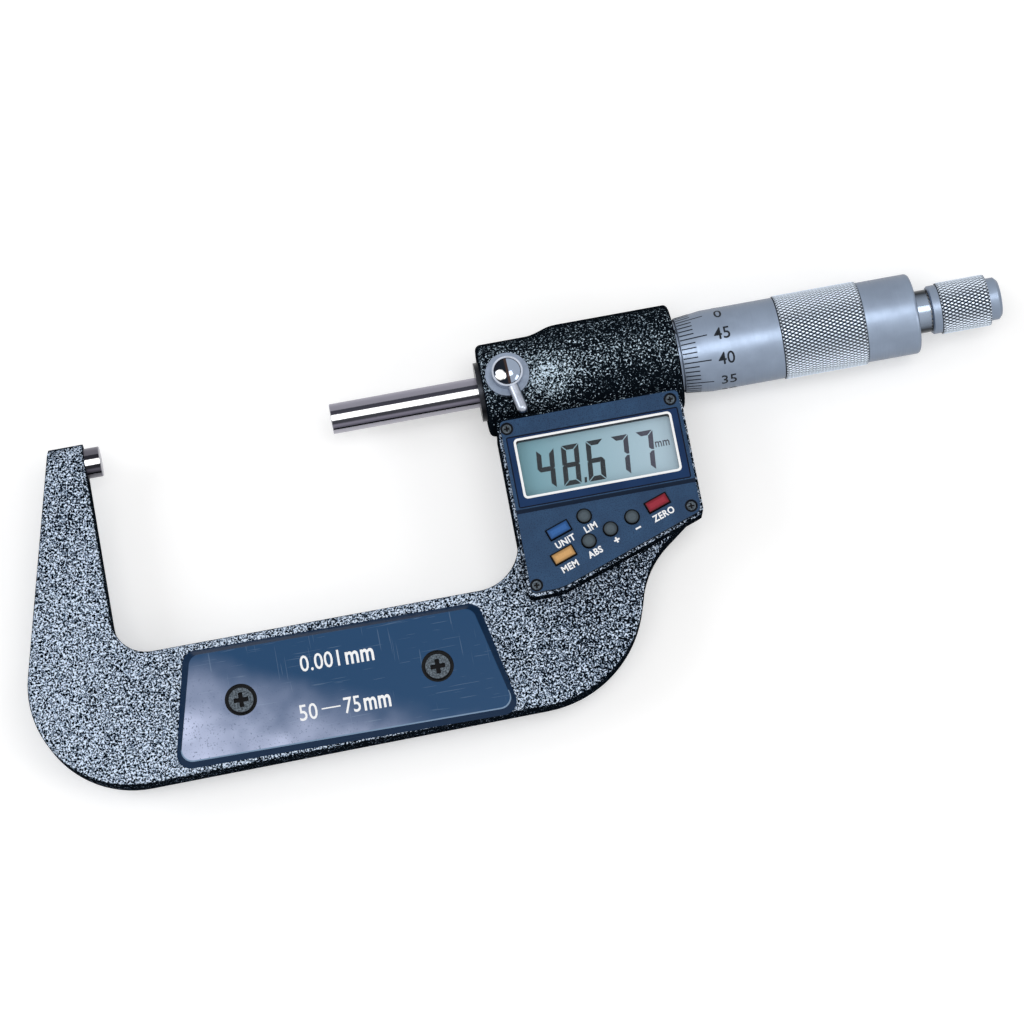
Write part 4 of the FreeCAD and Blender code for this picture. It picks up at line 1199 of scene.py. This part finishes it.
def window_line():
    """White printed line round the window."""
    level = size_of("display_lens")[1].z
    left, right, bottom, top = window_line_edges
    width = 0.5
    outer_radius = 0.95
    inner_radius = 0.5
    outer = rounded_loop(left, right, bottom, top, outer_radius)
    inner = rounded_loop(left + width, right - width, bottom + width, top - width, inner_radius)
    net = bmesh.new()
    outside = [net.verts.new((x, y, 0)) for x, y in outer]
    inside = [net.verts.new((x, y, 0)) for x, y in inner]
    count = len(outer)
    for index in range(count):
        after = (index + 1) % count
        net.faces.new((outside[index], outside[after], inside[after], inside[index]))
    marks = Marks()
    marks.lay(net, on_plane(0, 0, level))
    marks.make("window_line", "frame", "white_print")


# Labels beside the buttons, and the range on the insulating plate

label_height = 1.45
label_drop = 2.68
button_words = {
    "unit_button": "UNIT",
    "hold_button": "MEM",
    "limit_button": "LIM",
    "mode_button": "ABS",
    "zero_button": "ZERO",
}
sign_size = 1.25
sign_stroke = 0.36


def panel_labels():
    marks = Marks()
    down = math.radians(panel_slope - 90)

    def beside(node):
        x, y = centre_of(node)
        x += label_drop * math.cos(down)
        y += label_drop * math.sin(down)
        return on_plane(x, y, lower_level, panel_slope)

    for node, word in button_words.items():
        marks.text(word, label_height, beside(node), bold=0.042, squeeze=0.92)
    half = sign_size / 2
    stroke = sign_stroke / 2
    marks.bar(-half, half, 0.0, sign_stroke, beside("minus_button"))
    arm = ((half, -stroke), (half, stroke), (stroke, stroke))
    plus = []
    for turns in range(4):
        for u, v in arm:
            for turn in range(turns):
                u, v = -v, u
            plus.append((u, v))
    marks.outline(plus, beside("plus_button"))
    marks.make("panel_labels", "frame", "white_print")


plate_lean = -0.75
plate_word_height = 3.55
plate_unit_height = 3.95
dash_length = 4.0
dash_width = 0.28


def plate_numbers():
    marks = Marks()

    def line(words, x, y, height, bold, squeeze):
        marks.text(words, height, on_plane(x, y, plate_top, plate_lean), "LEFT", bold, squeeze)

    line("0.001", 34.3, -52.45, plate_word_height, 0.010, 0.84)
    line("mm", 43.85, -52.38, plate_unit_height, 0.030, 0.745)
    line("50", 32.3, -62.75, plate_word_height, 0.008, 0.84)
    marks.bar(0.0, dash_length, 0.0, dash_width, on_plane(37.25, -62.8, plate_top, plate_lean))
    line("75", 41.8, -62.87, plate_word_height, 0.010, 0.78)
    line("mm", 46.0, -62.75, plate_unit_height, 0.030, 0.70)
    marks.make("plate_numbers", "frame", "white_print")


thimble()
ratchet_grip()
thimble_scale()
sleeve_scale()
display_digits()
window_line()
panel_labels()
plate_numbers()
